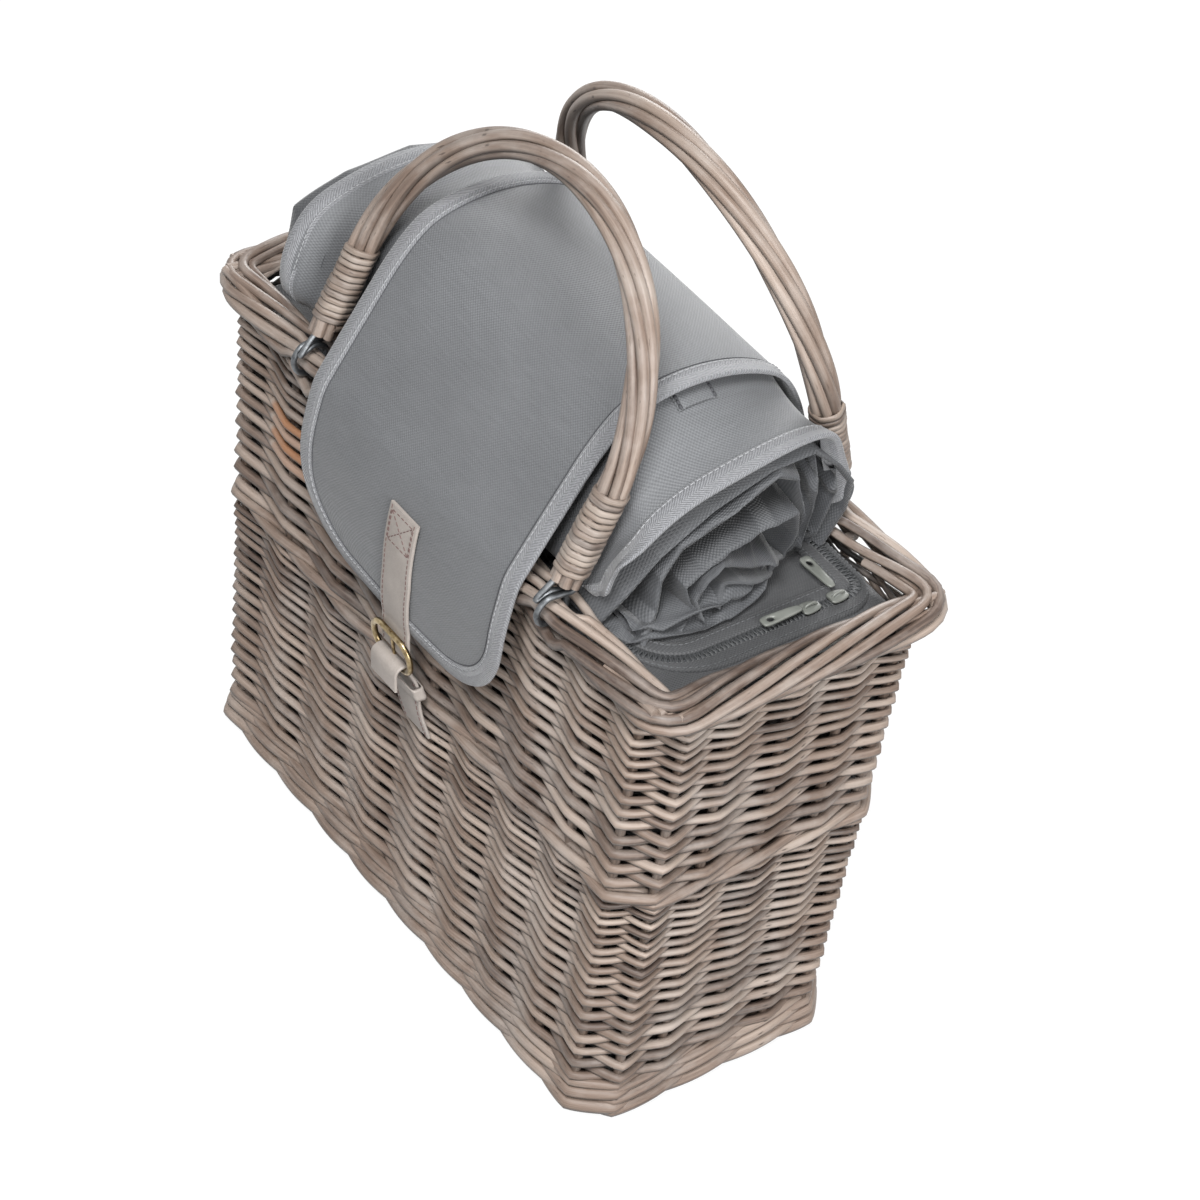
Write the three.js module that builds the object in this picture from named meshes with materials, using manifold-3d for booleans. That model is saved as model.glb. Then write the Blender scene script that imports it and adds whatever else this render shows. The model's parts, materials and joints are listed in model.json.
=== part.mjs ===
// Willow chiller basket: a tall rectangular wicker basket with an insulated, zipped
// cool bag inside, two hinged hoop handles, a rolled picnic blanket lying on the bag's
// lid, and a buckled canvas flap that goes over the roll and hangs outside the front wall.
// Millimetres. X runs along the basket, the front (flap side) faces -Y, +Z is up.
// The origin is the middle of the underside.

import * as THREE from 'three';
import { mergeVertices } from 'three/addons/utils/BufferGeometryUtils.js';
import Module from 'manifold-3d';

const wasm = await Module();
wasm.setup();

// Fits
const GAP = 0.3;               // between pieces that touch
const BAG_FIT = 2;             // between the cool bag and the basket walls
const RUN_FIT = 0.6;           // round moving pieces

// Basket walls
const TOP_LENGTH = 384;        // outside of the walls, under the border
const TOP_WIDTH = 168;
const FOOT_LENGTH = 361;       // outside of the walls, on the floor
const FOOT_WIDTH = 159;
const WALL_HEIGHT = 287;
const WALL_THICK = 13;
const CORNER_CHAMFER = 15;     // corner stakes stand this far from the corner, along both walls
const CORNER_POST = 20;        // width of the double corner stakes with their weave
const FRONT_STAKES = [-118, -72, -29, 13, 53, 90, 128];
const END_STAKES = [-34, 0, 34];
const WEAVE_DEPTH = 6;         // how far a course goes behind a stake
const LOWER_COURSES = 8;       // bands of rods below and above the mid wale
const UPPER_COURSES = 7;
const BASE_THICK = 12;
const FOOT_WALE_HEIGHT = 22;
const MID_WALE_HEIGHT = 12;
const MID_WALE_Z = 163;
const WALE_PROUD = 4;

// Border of laid rods
const RIM_ROD_R = 5;
const RIM_ROD_PITCH = 7;
const RIM_ROW_RISE = 8;
const RIM_OVERHANG = 8;        // outside the walls

// Cool bag
const SHELL_THICK = 2.5;
const FOAM_THICK = 6;
const LINING_THICK = 1.5;
const BAG_CORNER = 6;
const LID_DROP = 16;           // lid's top below the border's top
const LID_SKIN = 2.2;
const LID_FOAM = 4;
const LID_LINING = 1.2;

// Zip
const ZIP_INSET = 20;          // from the lid's end to the coil's middle
const ZIP_SIDE_INSET = 6;
const ZIP_ARM = 210;           // run of each long arm of the coil
const ZIP_WIDTH = 6;
const ZIP_HIGH = 1.8;
const ZIP_BEND = 9;
const SLIDER_LONG = 11;
const SLIDER_WIDE = 8;
const SLIDER_HIGH = 4;
const SLIDER_A_Y = 30;
const SLIDER_B_Y = 47;
const PULL_LONG = 24;
const PULL_WIDE = 7;
const PULL_THICK = 1.5;

// Handles
const AXIS_IN = 6.3;           // hinge axis inside the border's outer face
const AXIS_DOWN = 4.6;         // hinge axis below the border's top
const HOOP_HALF_SPAN = 105;
const HOOP_RISE = 172;
const HOOP_LEG = 62;
const FRONT_LEAN = 23.6;       // degrees inward, resting on the roll
const REAR_LEAN = 16.5;
const HANDLE_ROD_R = 4;
const HANDLE_RODS = 3;
const HANDLE_TWISTS = 2;
const HANDLE_ROD_SIDES = 7;
const HANDLE_ROD_STEPS = 40;
const RING_R = 9;
const RING_WIRE_R = 1.4;
const CANE_WIDE = 4.2;
const CANE_THICK = 2;
const CANE_PITCH = 5;
const CANE_TURNS = 9;
const CANE_STEPS = 12;         // in each turn
const CANE_START = 17;         // first turn above the hinge axis

// Rolled blanket
const ROLL_LEFT_INSET = 55;    // from the border's outer face to the wrap's end
const ROLL_RIGHT_INSET = 72;
const ROLL_HALF_WIDE = 79;
const ROLL_HALF_HIGH = 43;
const ROLL_Y = -2;
const ROLL_FLAT = 2;           // flattened on the lid
const ROLL_STEPS = 20;
const ROLL_SIDES = 24;
const WRAP_THICK = 2.4;
const BLANKET_OUT_STEPS = 1;   // blanket past the wrap's left end
const BLANKET_IN_STEPS = 1;    // blanket short of the wrap's right end
const COIL_TURNS = 2.5;        // spiral seen in the roll's right end
const COIL_STEPS = 16;         // in each turn
const COIL_WIDE = 4;
const COIL_DEEP = 9;
const LEG_PRESS_REACH = 34;    // how far past a handle leg the roll swells out again
const BETWEEN_LEGS = 60;       // half the roll's free stretch between the handle legs
const FREE_PRESS = 0.55;       // share of the legs' press left there, from the taut flap
const ROLL_SWELL = 16;         // how far the roll's top stands up there
const TAB_LONG = 22;
const TAB_WIDE = 18;
const TAB_THICK = 1.6;
const TAB_STEPS = 3;

// Flap and its strap
const FLAP_HALF_WIDE = 88;
const FLAP_THICK = 2.4;
const FLAP_REAR_SIDE = -3;     // roll side, counted from +Y, where the flap starts behind it
const FLAP_LEAVE_SIDE = 10;    // roll side where it leaves for the border
const FLAP_TOUCH_ANGLE = 145;  // where it meets the border's outer rod
const FLAP_EDGE_ANGLE = 155;   // where it ends on that rod
const TONGUE_LONG = 85;
const TONGUE_CORNER_R = 50;
const TONGUE_BULGE = 5;
const STRAP_WIDE = 24;
const STRAP_THICK = 2;
const STRAP_X = 3;
const STRAP_TOP_DROP = 14;     // strap's top below the border's top
const BUCKLE_WIDE = 36;
const BUCKLE_HIGH = 23;
const BUCKLE_BAR = 3.4;
const BUCKLE_THICK = 2.6;
const BUCKLE_CORNER = 6.5;
const BUCKLE_DROP = 5;         // buckle's top below the flap's edge
const PRONG_R = 1.1;
const STRAP_TAIL = 46;
const STRAP_TURN_BACK = 10;    // short ply of the tail's loop
const STRAP_SLANT = 10;        // degrees, tail leaning towards +X
const KEEPER_DROP = 12;        // keeper's top along the tail from the buckle's bar
const KEEPER_HIGH = 7;
const KEEPER_THICK = 1.6;

// Materials
const willow = new THREE.MeshStandardMaterial({ color: 0x96826f, roughness: 0.75 });
const willowDark = new THREE.MeshStandardMaterial({ color: 0x7d6b5b, roughness: 0.8 });
const cane = new THREE.MeshStandardMaterial({ color: 0x8a7463, roughness: 0.6 });
const wire = new THREE.MeshStandardMaterial({ color: 0x83888b, roughness: 0.4, metalness: 1 });
const canvas = new THREE.MeshStandardMaterial({ color: 0x77797b, roughness: 0.9 });
const canvasDark = new THREE.MeshStandardMaterial({ color: 0x5d5f62, roughness: 0.9 });
const foam = new THREE.MeshStandardMaterial({ color: 0xe6e4de, roughness: 0.95 });
const foil = new THREE.MeshStandardMaterial({ color: 0xc9cccf, roughness: 0.35 });
const zipMetal = new THREE.MeshStandardMaterial({ color: 0x878a82, roughness: 0.45, metalness: 1 });
const leather = new THREE.MeshStandardMaterial({ color: 0xa0988f, roughness: 0.7 });
const brass = new THREE.MeshStandardMaterial({ color: 0x9a8455, roughness: 0.35, metalness: 1 });

const group = new THREE.Group();
group.name = 'chiller_basket';

// Solids from three.js geometry
function solid(geometry) {
  const bare = geometry.clone();
  bare.deleteAttribute('normal');
  bare.deleteAttribute('uv');
  const welded = mergeVertices(bare, 1e-4);
  const points = Float32Array.from(welded.attributes.position.array);
  const faces = Uint32Array.from(welded.index.array);
  let volume = 0;
  const a = new THREE.Vector3();
  const b = new THREE.Vector3();
  const c = new THREE.Vector3();
  for (let i = 0; i < faces.length; i += 3) {
    a.fromArray(points, 3 * faces[i]);
    b.fromArray(points, 3 * faces[i + 1]);
    c.fromArray(points, 3 * faces[i + 2]);
    volume += a.dot(b.cross(c));
  }
  if (volume < 0) {
    for (let i = 0; i < faces.length; i += 3) {
      const first = faces[i];
      faces[i] = faces[i + 1];
      faces[i + 1] = first;
    }
  }
  return new wasm.Manifold(new wasm.Mesh({ numProp: 3, vertProperties: points, triVerts: faces }));
}

function piece(name, body, material) {
  const mesh = body.getMesh();
  const geometry = new THREE.BufferGeometry();
  const points = Float32Array.from(mesh.vertProperties);
  geometry.setAttribute('position', new THREE.BufferAttribute(points, 3));
  geometry.setIndex(new THREE.BufferAttribute(Uint32Array.from(mesh.triVerts), 1));
  geometry.computeVertexNormals();
  const node = new THREE.Mesh(geometry, material);
  node.name = name;
  group.add(node);
}

function box(x0, x1, y0, y1, z0, z1) {
  const geometry = new THREE.BoxGeometry(x1 - x0, y1 - y0, z1 - z0);
  return solid(geometry.translate((x0 + x1) / 2, (y0 + y1) / 2, (z0 + z1) / 2));
}

function movePoints(geometry, change) {
  const position = geometry.attributes.position;
  const p = new THREE.Vector3();
  for (let i = 0; i < position.count; i += 1) {
    p.fromBufferAttribute(position, i);
    change(p);
    position.setXYZ(i, p.x, p.y, p.z);
  }
  return geometry;
}

function polygon(points) {
  return new THREE.Shape(points.map(([x, y]) => new THREE.Vector2(x, y)));
}

// Steps in each quarter or full curve of a profile
const CURVE_STEPS = 5;

function pushed(shape, depth, steps = 1) {
  const settings = { depth, steps, curveSegments: CURVE_STEPS, bevelEnabled: false };
  return new THREE.ExtrudeGeometry(shape, settings);
}

// A profile drawn in Y and Z, pushed along X from x0 to x1
function alongX(shape, x0, x1, steps = 1) {
  const geometry = pushed(shape, x1 - x0, steps);
  const turn = new THREE.Matrix4().makeBasis(
    new THREE.Vector3(0, 1, 0), new THREE.Vector3(0, 0, 1), new THREE.Vector3(1, 0, 0));
  return geometry.applyMatrix4(turn).translate(x0, 0, 0);
}

// A profile drawn in X and Z, pushed along Y from y0 to y1
function alongY(shape, y0, y1) {
  const geometry = pushed(shape, y1 - y0);
  const turn = new THREE.Matrix4().makeBasis(
    new THREE.Vector3(1, 0, 0), new THREE.Vector3(0, 0, 1), new THREE.Vector3(0, -1, 0));
  return geometry.applyMatrix4(turn).translate(0, y1, 0);
}

// A profile drawn in X and Y, pushed up from z0 to z1
function alongZ(shape, z0, z1) {
  return pushed(shape, z1 - z0).translate(0, 0, z0);
}

// A line of points moved sideways, to the right of its run
function offsetLine(points, shift) {
  return points.map((p, i) => {
    const before = points[Math.max(i - 1, 0)];
    const after = points[Math.min(i + 1, points.length - 1)];
    const dx = after[0] - before[0];
    const dy = after[1] - before[1];
    const size = Math.hypot(dx, dy);
    return [p[0] + (shift * dy) / size, p[1] - (shift * dx) / size];
  });
}

// The closed outline of a strip of one thickness laid on the right of a line
function stripOutline(points, thick) {
  return polygon([...points, ...offsetLine(points, thick).reverse()]);
}

// Basket block: the flared box of the walls, inset all round, between two heights
const flareX = (TOP_LENGTH - FOOT_LENGTH) / 2 / WALL_HEIGHT;
const flareY = (TOP_WIDTH - FOOT_WIDTH) / 2 / WALL_HEIGHT;

function halfLength(z) {
  return FOOT_LENGTH / 2 + flareX * z;
}

function halfWidth(z) {
  return FOOT_WIDTH / 2 + flareY * z;
}

function block(inset, z0, z1, corner) {
  const l = halfLength(z0) - inset;
  const w = halfWidth(z0) - inset;
  const k = corner;
  const outline = polygon([
    [-l + k, -w], [l - k, -w], [l, -w + k], [l, w - k],
    [l - k, w], [-l + k, w], [-l, w - k], [-l, -w + k]]);
  const flare = (p) => {
    p.x += Math.sign(p.x) * flareX * (p.z - z0);
    p.y += Math.sign(p.y) * flareY * (p.z - z0);
  };
  return solid(movePoints(alongZ(outline, z0, z1), flare));
}

function band(outset, z0, z1) {
  const outer = block(-GAP - outset, z0, z1, CORNER_CHAMFER);
  return outer.subtract(block(-GAP, z0 - 1, z1 + 1, CORNER_CHAMFER));
}

// Stake places round the walls, anticlockwise, each with the direction into the basket
function stakeRound(z) {
  const long = halfLength(z) / halfLength(0);
  const wide = halfWidth(z) / halfWidth(0);
  const cornerX = halfLength(0) - CORNER_CHAMFER;
  const cornerY = halfWidth(0) - CORNER_CHAMFER;
  const front = [-cornerX, ...FRONT_STAKES, cornerX].map((x) => [x * long, -halfWidth(z), 0, 1]);
  const right = [-cornerY, ...END_STAKES, cornerY].map((y) => [halfLength(z), y * wide, -1, 0]);
  const rear = front.map(([x, y]) => [x, -y, 0, -1]).reverse();
  const left = right.map(([x, y]) => [-x, y, 1, 0]).reverse();
  return [...front, ...right, ...rear, ...left];
}

// One course of the weave: in front of one stake and behind the next
function course(turn, z0, z1) {
  const outline = polygon(stakeRound(z0).map(([x, y, inX, inY], i) => {
    const deep = (i + turn) % 2 ? WEAVE_DEPTH : 0;
    return [x + inX * deep, y + inY * deep];
  }));
  return solid(movePoints(alongZ(outline, z0, z1), (p) => {
    p.x *= halfLength(p.z) / halfLength(z0);
    p.y *= halfWidth(p.z) / halfWidth(z0);
  }));
}

function weave(courses, z0, z1) {
  const rise = (z1 - z0) / courses;
  let woven = course(0, z0, z0 + rise);
  for (let i = 1; i < courses; i += 1) {
    woven = woven.add(course(i, z0 + i * rise, z0 + (i + 1) * rise));
  }
  return woven;
}

// Walls, corners, base and wales
const FAR = 1000;
const wale0 = MID_WALE_Z - MID_WALE_HEIGHT / 2;
const wale1 = wale0 + MID_WALE_HEIGHT;
const walls = block(0, 0, FOOT_WALE_HEIGHT, CORNER_CHAMFER)
  .add(weave(LOWER_COURSES, FOOT_WALE_HEIGHT, wale0))
  .add(block(0, wale0, wale1, CORNER_CHAMFER))
  .add(weave(UPPER_COURSES, wale1, WALL_HEIGHT))
  .subtract(block(WALL_THICK, -1, WALL_HEIGHT + 1, BAG_CORNER));
const splitX = FOOT_LENGTH / 2 - CORNER_POST;
const splitY = FOOT_WIDTH / 2 - CORNER_POST;
piece('wall_front', walls.intersect(box(-splitX, splitX, -FAR, 0, -1, FAR)), willow);
piece('wall_rear', walls.intersect(box(-splitX, splitX, 0, FAR, -1, FAR)), willow);
piece('wall_left', walls.intersect(box(-FAR, 0, -splitY, splitY, -1, FAR)), willow);
piece('wall_right', walls.intersect(box(0, FAR, -splitY, splitY, -1, FAR)), willow);
const postX = splitX + GAP;
const postY = splitY + GAP;
piece('corner_front_left', walls.intersect(box(-FAR, -postX, -FAR, -postY, -1, FAR)), willowDark);
piece('corner_front_right', walls.intersect(box(postX, FAR, -FAR, -postY, -1, FAR)), willowDark);
piece('corner_rear_left', walls.intersect(box(-FAR, -postX, postY, FAR, -1, FAR)), willowDark);
piece('corner_rear_right', walls.intersect(box(postX, FAR, postY, FAR, -1, FAR)), willowDark);
piece('base_weave', block(WALL_THICK + GAP, 0, BASE_THICK, BAG_CORNER), willowDark);
piece('foot_wale', band(WALE_PROUD, 0, FOOT_WALE_HEIGHT), willowDark);
piece('mid_wale', band(WALE_PROUD, wale0, wale1), willowDark);

// Border: five laid rods on a core, mitred at the corners, bored for the handle rings
const RIM_WIDE = 2 * (RIM_ROD_PITCH + RIM_ROD_R);
const RIM_HIGH = 2 * RIM_ROD_R + RIM_ROW_RISE;
const RIM_Z0 = WALL_HEIGHT + GAP;
const RIM_TOP = RIM_Z0 + RIM_HIGH;
const rimX = TOP_LENGTH / 2 + RIM_OVERHANG;
const rimY = TOP_WIDTH / 2 + RIM_OVERHANG;
const axisY = rimY - AXIS_IN;
const axisZ = RIM_TOP - AXIS_DOWN;

function rimBar(outerFace, reach) {
  const middle = outerFace - RIM_WIDE / 2;
  const low = RIM_Z0 + RIM_ROD_R;
  const high = low + RIM_ROW_RISE;
  const rods = [
    [middle - RIM_ROD_PITCH, low], [middle, low], [middle + RIM_ROD_PITCH, low],
    [middle - RIM_ROD_PITCH, high], [middle, high], [middle + RIM_ROD_PITCH, high]];
  let bar = solid(alongX(polygon([
    [middle - RIM_ROD_PITCH, low], [middle + RIM_ROD_PITCH, low],
    [middle + RIM_ROD_PITCH, high], [middle - RIM_ROD_PITCH, high]]), -reach, reach));
  for (const [y, z] of rods) {
    const rod = new THREE.CylinderGeometry(RIM_ROD_R, RIM_ROD_R, 2 * reach, 12);
    bar = bar.add(solid(rod.rotateZ(Math.PI / 2).translate(0, y, z)));
  }
  return bar;
}

function mitre(outerFace, reach, slack) {
  const deep = RIM_WIDE + 1;
  const outer = outerFace + 1;
  const half = reach - slack;
  const outline = polygon([
    [-half, outer], [-half + deep, outer - deep], [half - deep, outer - deep], [half, outer]]);
  return solid(alongZ(outline, RIM_Z0 - 1, RIM_TOP + 1));
}

function ringChannel(x, y) {
  const ring = new THREE.TorusGeometry(RING_R, RING_WIRE_R + RUN_FIT, 6, 20);
  return solid(ring.rotateY(Math.PI / 2).translate(x, y, axisZ));
}

const sideRim = rimBar(rimY, rimX).intersect(mitre(rimY, rimX + 1, GAP));
const endRim = rimBar(rimX, rimY).intersect(mitre(rimX, rimY + 1, GAP));
const boredRim = sideRim
  .subtract(ringChannel(-HOOP_HALF_SPAN, axisY))
  .subtract(ringChannel(HOOP_HALF_SPAN, axisY));
piece('rim_front', boredRim.rotate([0, 0, 180]), willow);
piece('rim_rear', boredRim, willow);
piece('rim_right', endRim.rotate([0, 0, -90]), willow);
piece('rim_left', endRim.rotate([0, 0, 90]), willow);

// Cool bag: canvas shell, foam and wipe-clean lining, one inside the other
const lidTop = RIM_TOP - LID_DROP;
const bagTop = lidTop - LID_SKIN - LID_FOAM - LID_LINING - 3 * GAP;
const shellInset = WALL_THICK + BAG_FIT;
const foamInset = shellInset + SHELL_THICK + GAP;
const liningInset = foamInset + FOAM_THICK + GAP;
const shellFloor = BASE_THICK + GAP;
const foamFloor = shellFloor + SHELL_THICK + GAP;
const liningFloor = foamFloor + FOAM_THICK + GAP;

function tub(inset, floor, thick) {
  const outside = block(inset, floor, bagTop, BAG_CORNER);
  return outside.subtract(block(inset + thick, floor + thick, bagTop + 1, BAG_CORNER));
}

piece('bag_shell', tub(shellInset, shellFloor, SHELL_THICK), canvas);
piece('bag_foam', tub(foamInset, foamFloor, FOAM_THICK), foam);
piece('bag_lining', tub(liningInset, liningFloor, LINING_THICK), foil);

// Lid of the bag, under the roll
const lidLining0 = bagTop + GAP;
const lidFoam0 = lidLining0 + LID_LINING + GAP;
const lidSkin0 = lidFoam0 + LID_FOAM + GAP;
piece('lid_lining', block(shellInset, lidLining0, lidLining0 + LID_LINING, BAG_CORNER), foil);
piece('lid_foam', block(shellInset, lidFoam0, lidFoam0 + LID_FOAM, BAG_CORNER), foam);
piece('lid_skin', block(shellInset, lidSkin0, lidTop, BAG_CORNER), canvas);

// Zip: a U of coil on the lid, with two sliders and their pulls
const coilX = halfLength(lidTop) - shellInset - ZIP_INSET;
const coilY = halfWidth(lidTop) - shellInset - ZIP_SIDE_INSET;
const coil0 = lidTop + GAP;
const coilTop = coil0 + ZIP_HIGH;

function zipOutline(x, y, bend) {
  const shape = new THREE.Shape();
  const start = coilX - ZIP_ARM;
  shape.moveTo(start, -y);
  shape.lineTo(x - bend, -y);
  shape.absarc(x - bend, -y + bend, bend, -Math.PI / 2, 0, false);
  shape.lineTo(x, y - bend);
  shape.absarc(x - bend, y - bend, bend, 0, Math.PI / 2, false);
  shape.lineTo(start, y);
  shape.closePath();
  return shape;
}

function zipBlock(offset, z0, z1) {
  const shape = zipOutline(coilX + offset, coilY + offset, ZIP_BEND + offset);
  return solid(alongZ(shape, z0, z1));
}

const armGap = coilY - ZIP_WIDTH / 2;
const openEnd = coilX - ZIP_ARM;
const coilCut = zipBlock(-ZIP_WIDTH / 2, coil0 - 1, coilTop + 1)
  .add(box(openEnd - 1, openEnd + ZIP_ARM / 2, -armGap, armGap, coil0 - 1, coilTop + 1));
piece('zip_coil', zipBlock(ZIP_WIDTH / 2, coil0, coilTop).subtract(coilCut), canvasDark);

const slider0 = coilTop + GAP;
const sliderTop = slider0 + SLIDER_HIGH;
const pull0 = sliderTop - PULL_THICK;

function slider(y) {
  const w = SLIDER_WIDE / 2;
  const l = SLIDER_LONG / 2;
  return box(coilX - w, coilX + w, y - l, y + l, slider0, sliderTop);
}

function pull() {
  const w = PULL_WIDE / 2;
  const outline = polygon([
    [-w, 0], [w, 0], [w, PULL_LONG - w],
    [w / 2, PULL_LONG], [-w / 2, PULL_LONG], [-w, PULL_LONG - w]]);
  const hole = new THREE.Path();
  hole.absarc(0, PULL_LONG - PULL_WIDE, w / 2, 0, 2 * Math.PI, false);
  outline.holes.push(hole);
  return alongZ(outline, 0, PULL_THICK);
}

piece('zip_slider_a', slider(SLIDER_A_Y), zipMetal);
piece('zip_slider_b', slider(SLIDER_B_Y), zipMetal);
const pullAY = SLIDER_A_Y - SLIDER_LONG / 2 - GAP;
piece('zip_pull_a', solid(pull().rotateZ(Math.PI).translate(coilX, pullAY, pull0)), zipMetal);
const pullBX = coilX - SLIDER_WIDE / 2 - GAP;
piece('zip_pull_b', solid(pull().rotateZ(Math.PI / 2).translate(pullBX, SLIDER_B_Y, pull0)), zipMetal);

// Handles: three rods laid round a hoop, bound with cane at both ends, hung on wire rings
const rodOrbit = (2 * HANDLE_ROD_R + GAP) / 2 / Math.sin(Math.PI / HANDLE_RODS);
const bundleR = rodOrbit + HANDLE_ROD_R;
const hoopFoot = RING_R + RING_WIRE_R + GAP;

class HoopRod extends THREE.Curve {
  constructor(phase) {
    super();
    this.phase = phase;
    this.arch = HOOP_RISE - HOOP_LEG;
    this.leg = HOOP_LEG - hoopFoot;
    const a = HOOP_HALF_SPAN;
    const b = this.arch;
    this.archLength = Math.PI * (3 * (a + b) - Math.sqrt((3 * a + b) * (a + 3 * b))) / 2;
    this.total = 2 * this.leg + this.archLength;
  }

  getPoint(t, target = new THREE.Vector3()) {
    const along = t * this.total;
    const spin = this.phase + 2 * Math.PI * HANDLE_TWISTS * t;
    const centre = new THREE.Vector2();
    const outward = new THREE.Vector2();
    if (along < this.leg) {
      centre.set(-HOOP_HALF_SPAN, hoopFoot + along);
      outward.set(-1, 0);
    } else if (along > this.leg + this.archLength) {
      centre.set(HOOP_HALF_SPAN, hoopFoot + this.total - along);
      outward.set(1, 0);
    } else {
      const turn = Math.PI * (1 - (along - this.leg) / this.archLength);
      centre.set(HOOP_HALF_SPAN * Math.cos(turn), HOOP_LEG + this.arch * Math.sin(turn));
      outward.set(this.arch * Math.cos(turn), HOOP_HALF_SPAN * Math.sin(turn)).normalize();
    }
    const side = rodOrbit * Math.cos(spin);
    return target.set(
      centre.x + outward.x * side, rodOrbit * Math.sin(spin), centre.y + outward.y * side);
  }
}

// One length of flat cane wound round a handle's leg, its ends running out straight
const caneR = bundleR + RUN_FIT + CANE_THICK / 2;
const caneTurn = Math.hypot(2 * Math.PI * caneR, CANE_PITCH);

class CaneTurns extends THREE.Curve {
  constructor(x) {
    super();
    this.x = x;
    this.total = CANE_TURNS * caneTurn + 2 * CANE_WIDE;
  }

  place(t) {
    const along = t * this.total - CANE_WIDE;
    const wound = THREE.MathUtils.clamp(along, 0, CANE_TURNS * caneTurn);
    const spin = (2 * Math.PI * wound) / caneTurn;
    return { spin, height: CANE_START + (CANE_PITCH * wound) / caneTurn, straight: along - wound };
  }

  getPoint(t, target = new THREE.Vector3()) {
    const { spin, height, straight } = this.place(t);
    const run = (straight * 2 * Math.PI * caneR) / caneTurn;
    const rise = (straight * CANE_PITCH) / caneTurn;
    return target.set(
      this.x + caneR * Math.cos(spin) - run * Math.sin(spin),
      caneR * Math.sin(spin) + run * Math.cos(spin), height + rise);
  }

  getSpacedPoints(steps) {
    return Array.from({ length: steps + 1 }, (_, i) => this.getPoint(i / steps));
  }

  computeFrenetFrames(steps) {
    const tangents = [];
    const normals = [];
    const binormals = [];
    for (let i = 0; i <= steps; i += 1) {
      const { spin } = this.place(i / steps);
      const round = 2 * Math.PI * caneR;
      const tangent = new THREE.Vector3(-Math.sin(spin) * round, Math.cos(spin) * round, CANE_PITCH);
      tangent.normalize();
      const normal = new THREE.Vector3(Math.cos(spin), Math.sin(spin), 0);
      tangents.push(tangent);
      normals.push(normal);
      binormals.push(new THREE.Vector3().crossVectors(tangent, normal));
    }
    return { tangents, normals, binormals };
  }
}

function caneWrap(x) {
  const t = CANE_THICK / 2;
  const w = CANE_WIDE / 2;
  const section = polygon([[-t, -w], [t, -w], [t, w], [-t, w]]);
  const path = new CaneTurns(x);
  const settings = { steps: CANE_TURNS * CANE_STEPS, bevelEnabled: false, extrudePath: path };
  return solid(new THREE.ExtrudeGeometry(section, settings));
}

function leastCaneGap() {
  const path = new CaneTurns(0);
  const points = path.getSpacedPoints(CANE_TURNS * CANE_STEPS);
  let least = Infinity;
  for (let i = 0; i < points.length; i += 1) {
    for (let j = i + CANE_STEPS / 2; j < points.length; j += 1) {
      least = Math.min(least, points[i].distanceTo(points[j]));
    }
  }
  return least - CANE_WIDE;
}

console.log(`cane wrap: least gap to itself ${leastCaneGap().toFixed(2)} mm`);

function hoopRod(index) {
  const section = polygon(Array.from({ length: HANDLE_ROD_SIDES }, (_, i) => {
    const angle = (2 * Math.PI * i) / HANDLE_ROD_SIDES;
    return [HANDLE_ROD_R * Math.cos(angle), HANDLE_ROD_R * Math.sin(angle)];
  }));
  const path = new HoopRod((2 * Math.PI * index) / HANDLE_RODS);
  path.arcLengthDivisions = 600;
  const settings = { steps: HANDLE_ROD_STEPS, bevelEnabled: false, extrudePath: path };
  return solid(new THREE.ExtrudeGeometry(section, settings));
}

function wireRing(x) {
  const ring = new THREE.TorusGeometry(RING_R, RING_WIRE_R, 6, 18);
  return solid(ring.rotateY(Math.PI / 2).translate(x, 0, 0));
}

function handle(name, y, lean) {
  const place = (body) => body.rotate([lean, 0, 0]).translate([0, y, axisZ]);
  for (let i = 0; i < HANDLE_RODS; i += 1) {
    piece(`${name}_rod_${i + 1}`, place(hoopRod(i)), willow);
  }
  piece(`${name}_cane_left`, place(caneWrap(-HOOP_HALF_SPAN)), cane);
  piece(`${name}_cane_right`, place(caneWrap(HOOP_HALF_SPAN)), cane);
  piece(`${name}_ring_left`, place(wireRing(-HOOP_HALF_SPAN)), wire);
  piece(`${name}_ring_right`, place(wireRing(HOOP_HALF_SPAN)), wire);
}

handle('front_handle', -axisY, -FRONT_LEAN);
handle('rear_handle', axisY, REAR_LEAN);

// Rolled blanket in its canvas wrap, pressed in between the leaning handles
const rollZ = lidTop + GAP + ROLL_HALF_HIGH - ROLL_FLAT;
const rollLeft = -rimX + ROLL_LEFT_INSET;
const rollRight = rimX - ROLL_RIGHT_INSET;
const rollStep = (rollRight - rollLeft) / ROLL_STEPS;
const legClear = caneR + CANE_THICK / 2 + RUN_FIT;
const lidFace = box(-FAR, FAR, -FAR, FAR, lidTop + GAP, FAR);

function swell(x) {
  const fall = THREE.MathUtils.smoothstep(Math.abs(x), BETWEEN_LEGS, HOOP_HALF_SPAN + legClear);
  return ROLL_SWELL * (1 - fall);
}

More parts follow.
